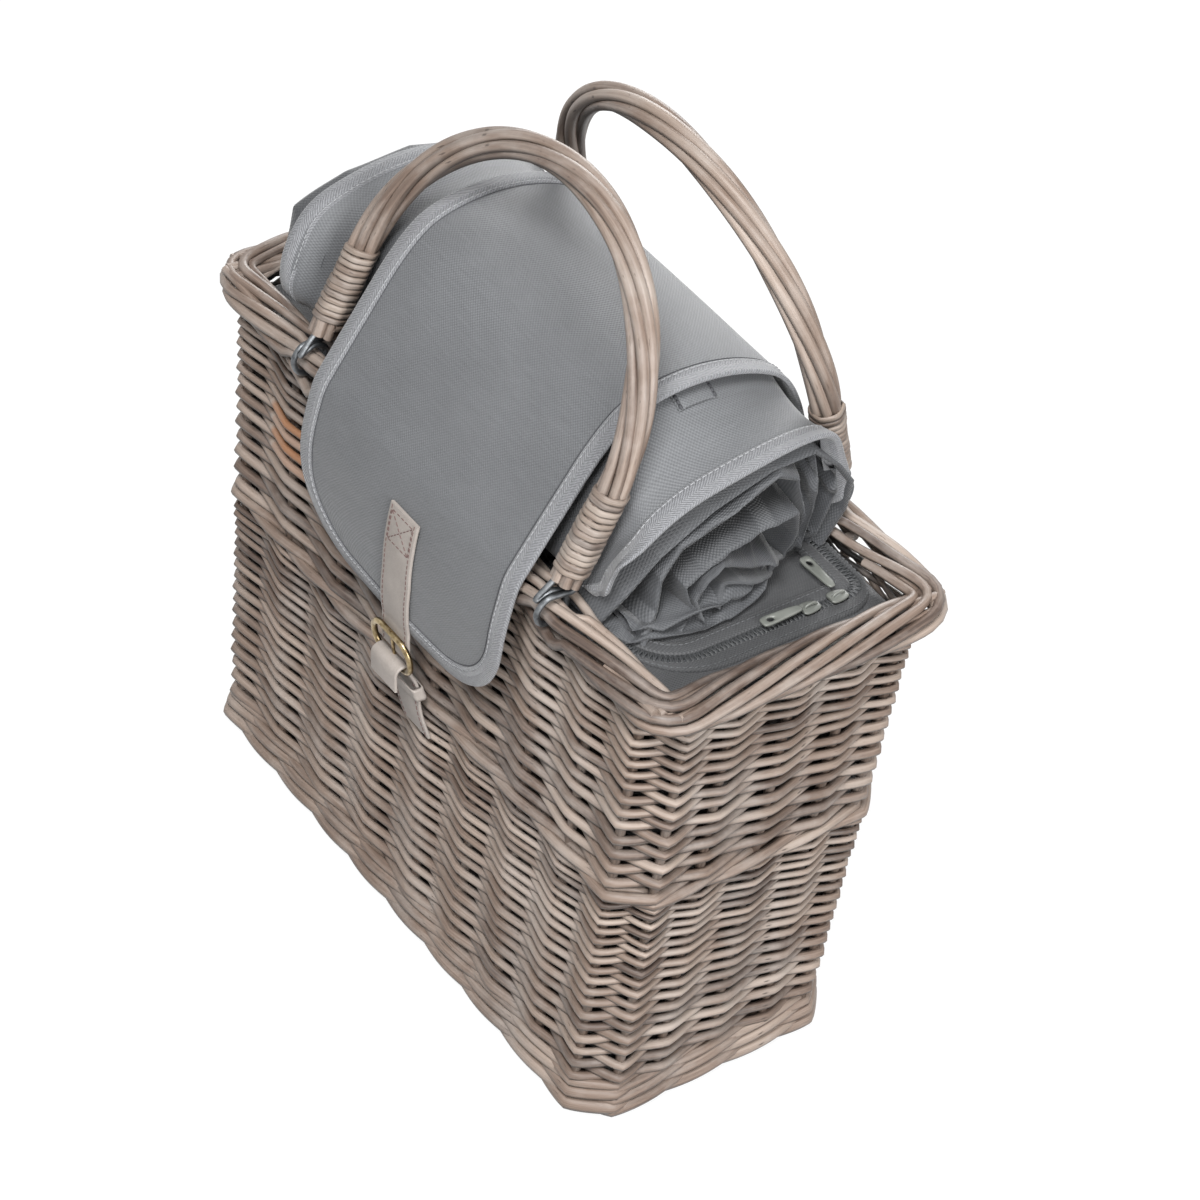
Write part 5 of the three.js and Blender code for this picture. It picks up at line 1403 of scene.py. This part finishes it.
def build_keeper():
    """A leather loop round the strap's two layers under the buckle."""
    low, high = box_mm("strap_keeper")
    half = (high - low) / 2
    ring = rounded_ring(half[0] - 1.6, half[1] - 0.6, 1.8, 6, 12)
    levels = np.linspace(-KEEPER_HALF, KEEPER_HALF, 6)
    grid = []
    for grow, order in ((KEEPER_SKIN, levels), (-KEEPER_SKIN, levels[::-1])):
        skin = ring + unit(ring) * grow
        for level in order:
            shift = (-TAIL_SLOPE * level, -KEEPER_LEAN * level)
            grid.append(np.column_stack([skin + shift, np.full(len(skin), level)]) + (low + high) / 2)
    shape = Shape().grid(np.array(grid), round_across=True, round_along=True)
    dress(shape.make("keeper_loop", [LEATHER]), "tail", ["strap_keeper"])


# Stage


def build_floor():
    """A white floor that keeps the object's shadow."""
    bpy.ops.mesh.primitive_plane_add(size=30)
    floor = bpy.context.object
    floor.name = "floor"
    material = bpy.data.materials.new("floor_white")
    material.use_nodes = True
    nodes = Nodes(material.node_tree)
    nodes.tree.nodes.clear()
    lit = nodes.add("BsdfDiffuse", {"Color": (*grey(FLOOR_BOUNCE), 1)})
    seen = nodes.add("BsdfDiffuse", {"Color": (*grey(FLOOR_SEEN), 1)})
    glow = nodes.add("Emission", {"Strength": FLOOR_GLOW})
    both = nodes.add("AddShader", {0: seen.outputs[0], 1: glow.outputs[0]})
    nodes.add("OutputMaterial", {"Surface": nodes.lit_or_seen(lit, both)})
    floor.data.materials.append(material)


def build_light():
    """Soft studio light before a white background."""
    scene = bpy.context.scene
    scene.view_settings.view_transform = "Standard"
    world = bpy.data.worlds.new("studio")
    scene.world = world
    world.use_nodes = True
    nodes = Nodes(world.node_tree)
    nodes.tree.nodes.clear()
    sky, white = (nodes.add("Background", {"Color": (*grey(1), 1), "Strength": s}) for s in (SKY_LIGHT, 1))
    nodes.add("OutputWorld", {"Surface": nodes.lit_or_seen(sky, white)})
    for name, place, size, power in LAMPS:
        light = bpy.data.lights.new(name, "AREA")
        light.energy = power
        light.size = size
        lamp = bpy.data.objects.new(name, light)
        lamp.location = place
        lamp.rotation_euler = (Vector(LAMP_TARGET) - Vector(place)).to_track_quat("-Z", "Y").to_euler()
        scene.collection.objects.link(lamp)


def build_camera():
    """The camera at the photograph's angle."""
    a, e, r = (math.radians(v) for v in (CAMERA_AZIMUTH, CAMERA_ELEVATION, CAMERA_ROLL))
    back = Vector((math.sin(a) * math.cos(e), -math.cos(a) * math.cos(e), math.sin(e)))
    right = (-back).cross(Vector((0, 0, 1))).normalized()
    up = right.cross(-back)
    tilted = right * math.cos(r) + up * math.sin(r)
    upright = up * math.cos(r) - right * math.sin(r)
    data = bpy.data.cameras.new("camera")
    data.lens = CAMERA_LENS
    data.sensor_width = CAMERA_SENSOR
    camera = bpy.data.objects.new("camera", data)
    turn = Matrix((tilted, upright, back)).transposed().to_4x4()
    place = (Vector(CAMERA_TARGET) + back * CAMERA_DISTANCE) * MM
    camera.matrix_world = Matrix.Translation(place) @ turn
    bpy.context.scene.collection.objects.link(camera)
    bpy.context.scene.camera = camera


build_camera()
build_floor()
build_light()
build_walls()
build_base()
build_border()
build_handle("front_handle", "front_handle_swing", -FRONT_LEAN, 71)
build_handle("rear_handle", "rear_handle_swing", REAR_LEAN, 83)
build_bag()
build_wrap()
build_blanket()
build_flap()
build_tabs()
build_strap()
build_buckle()
build_tail()
build_keeper()
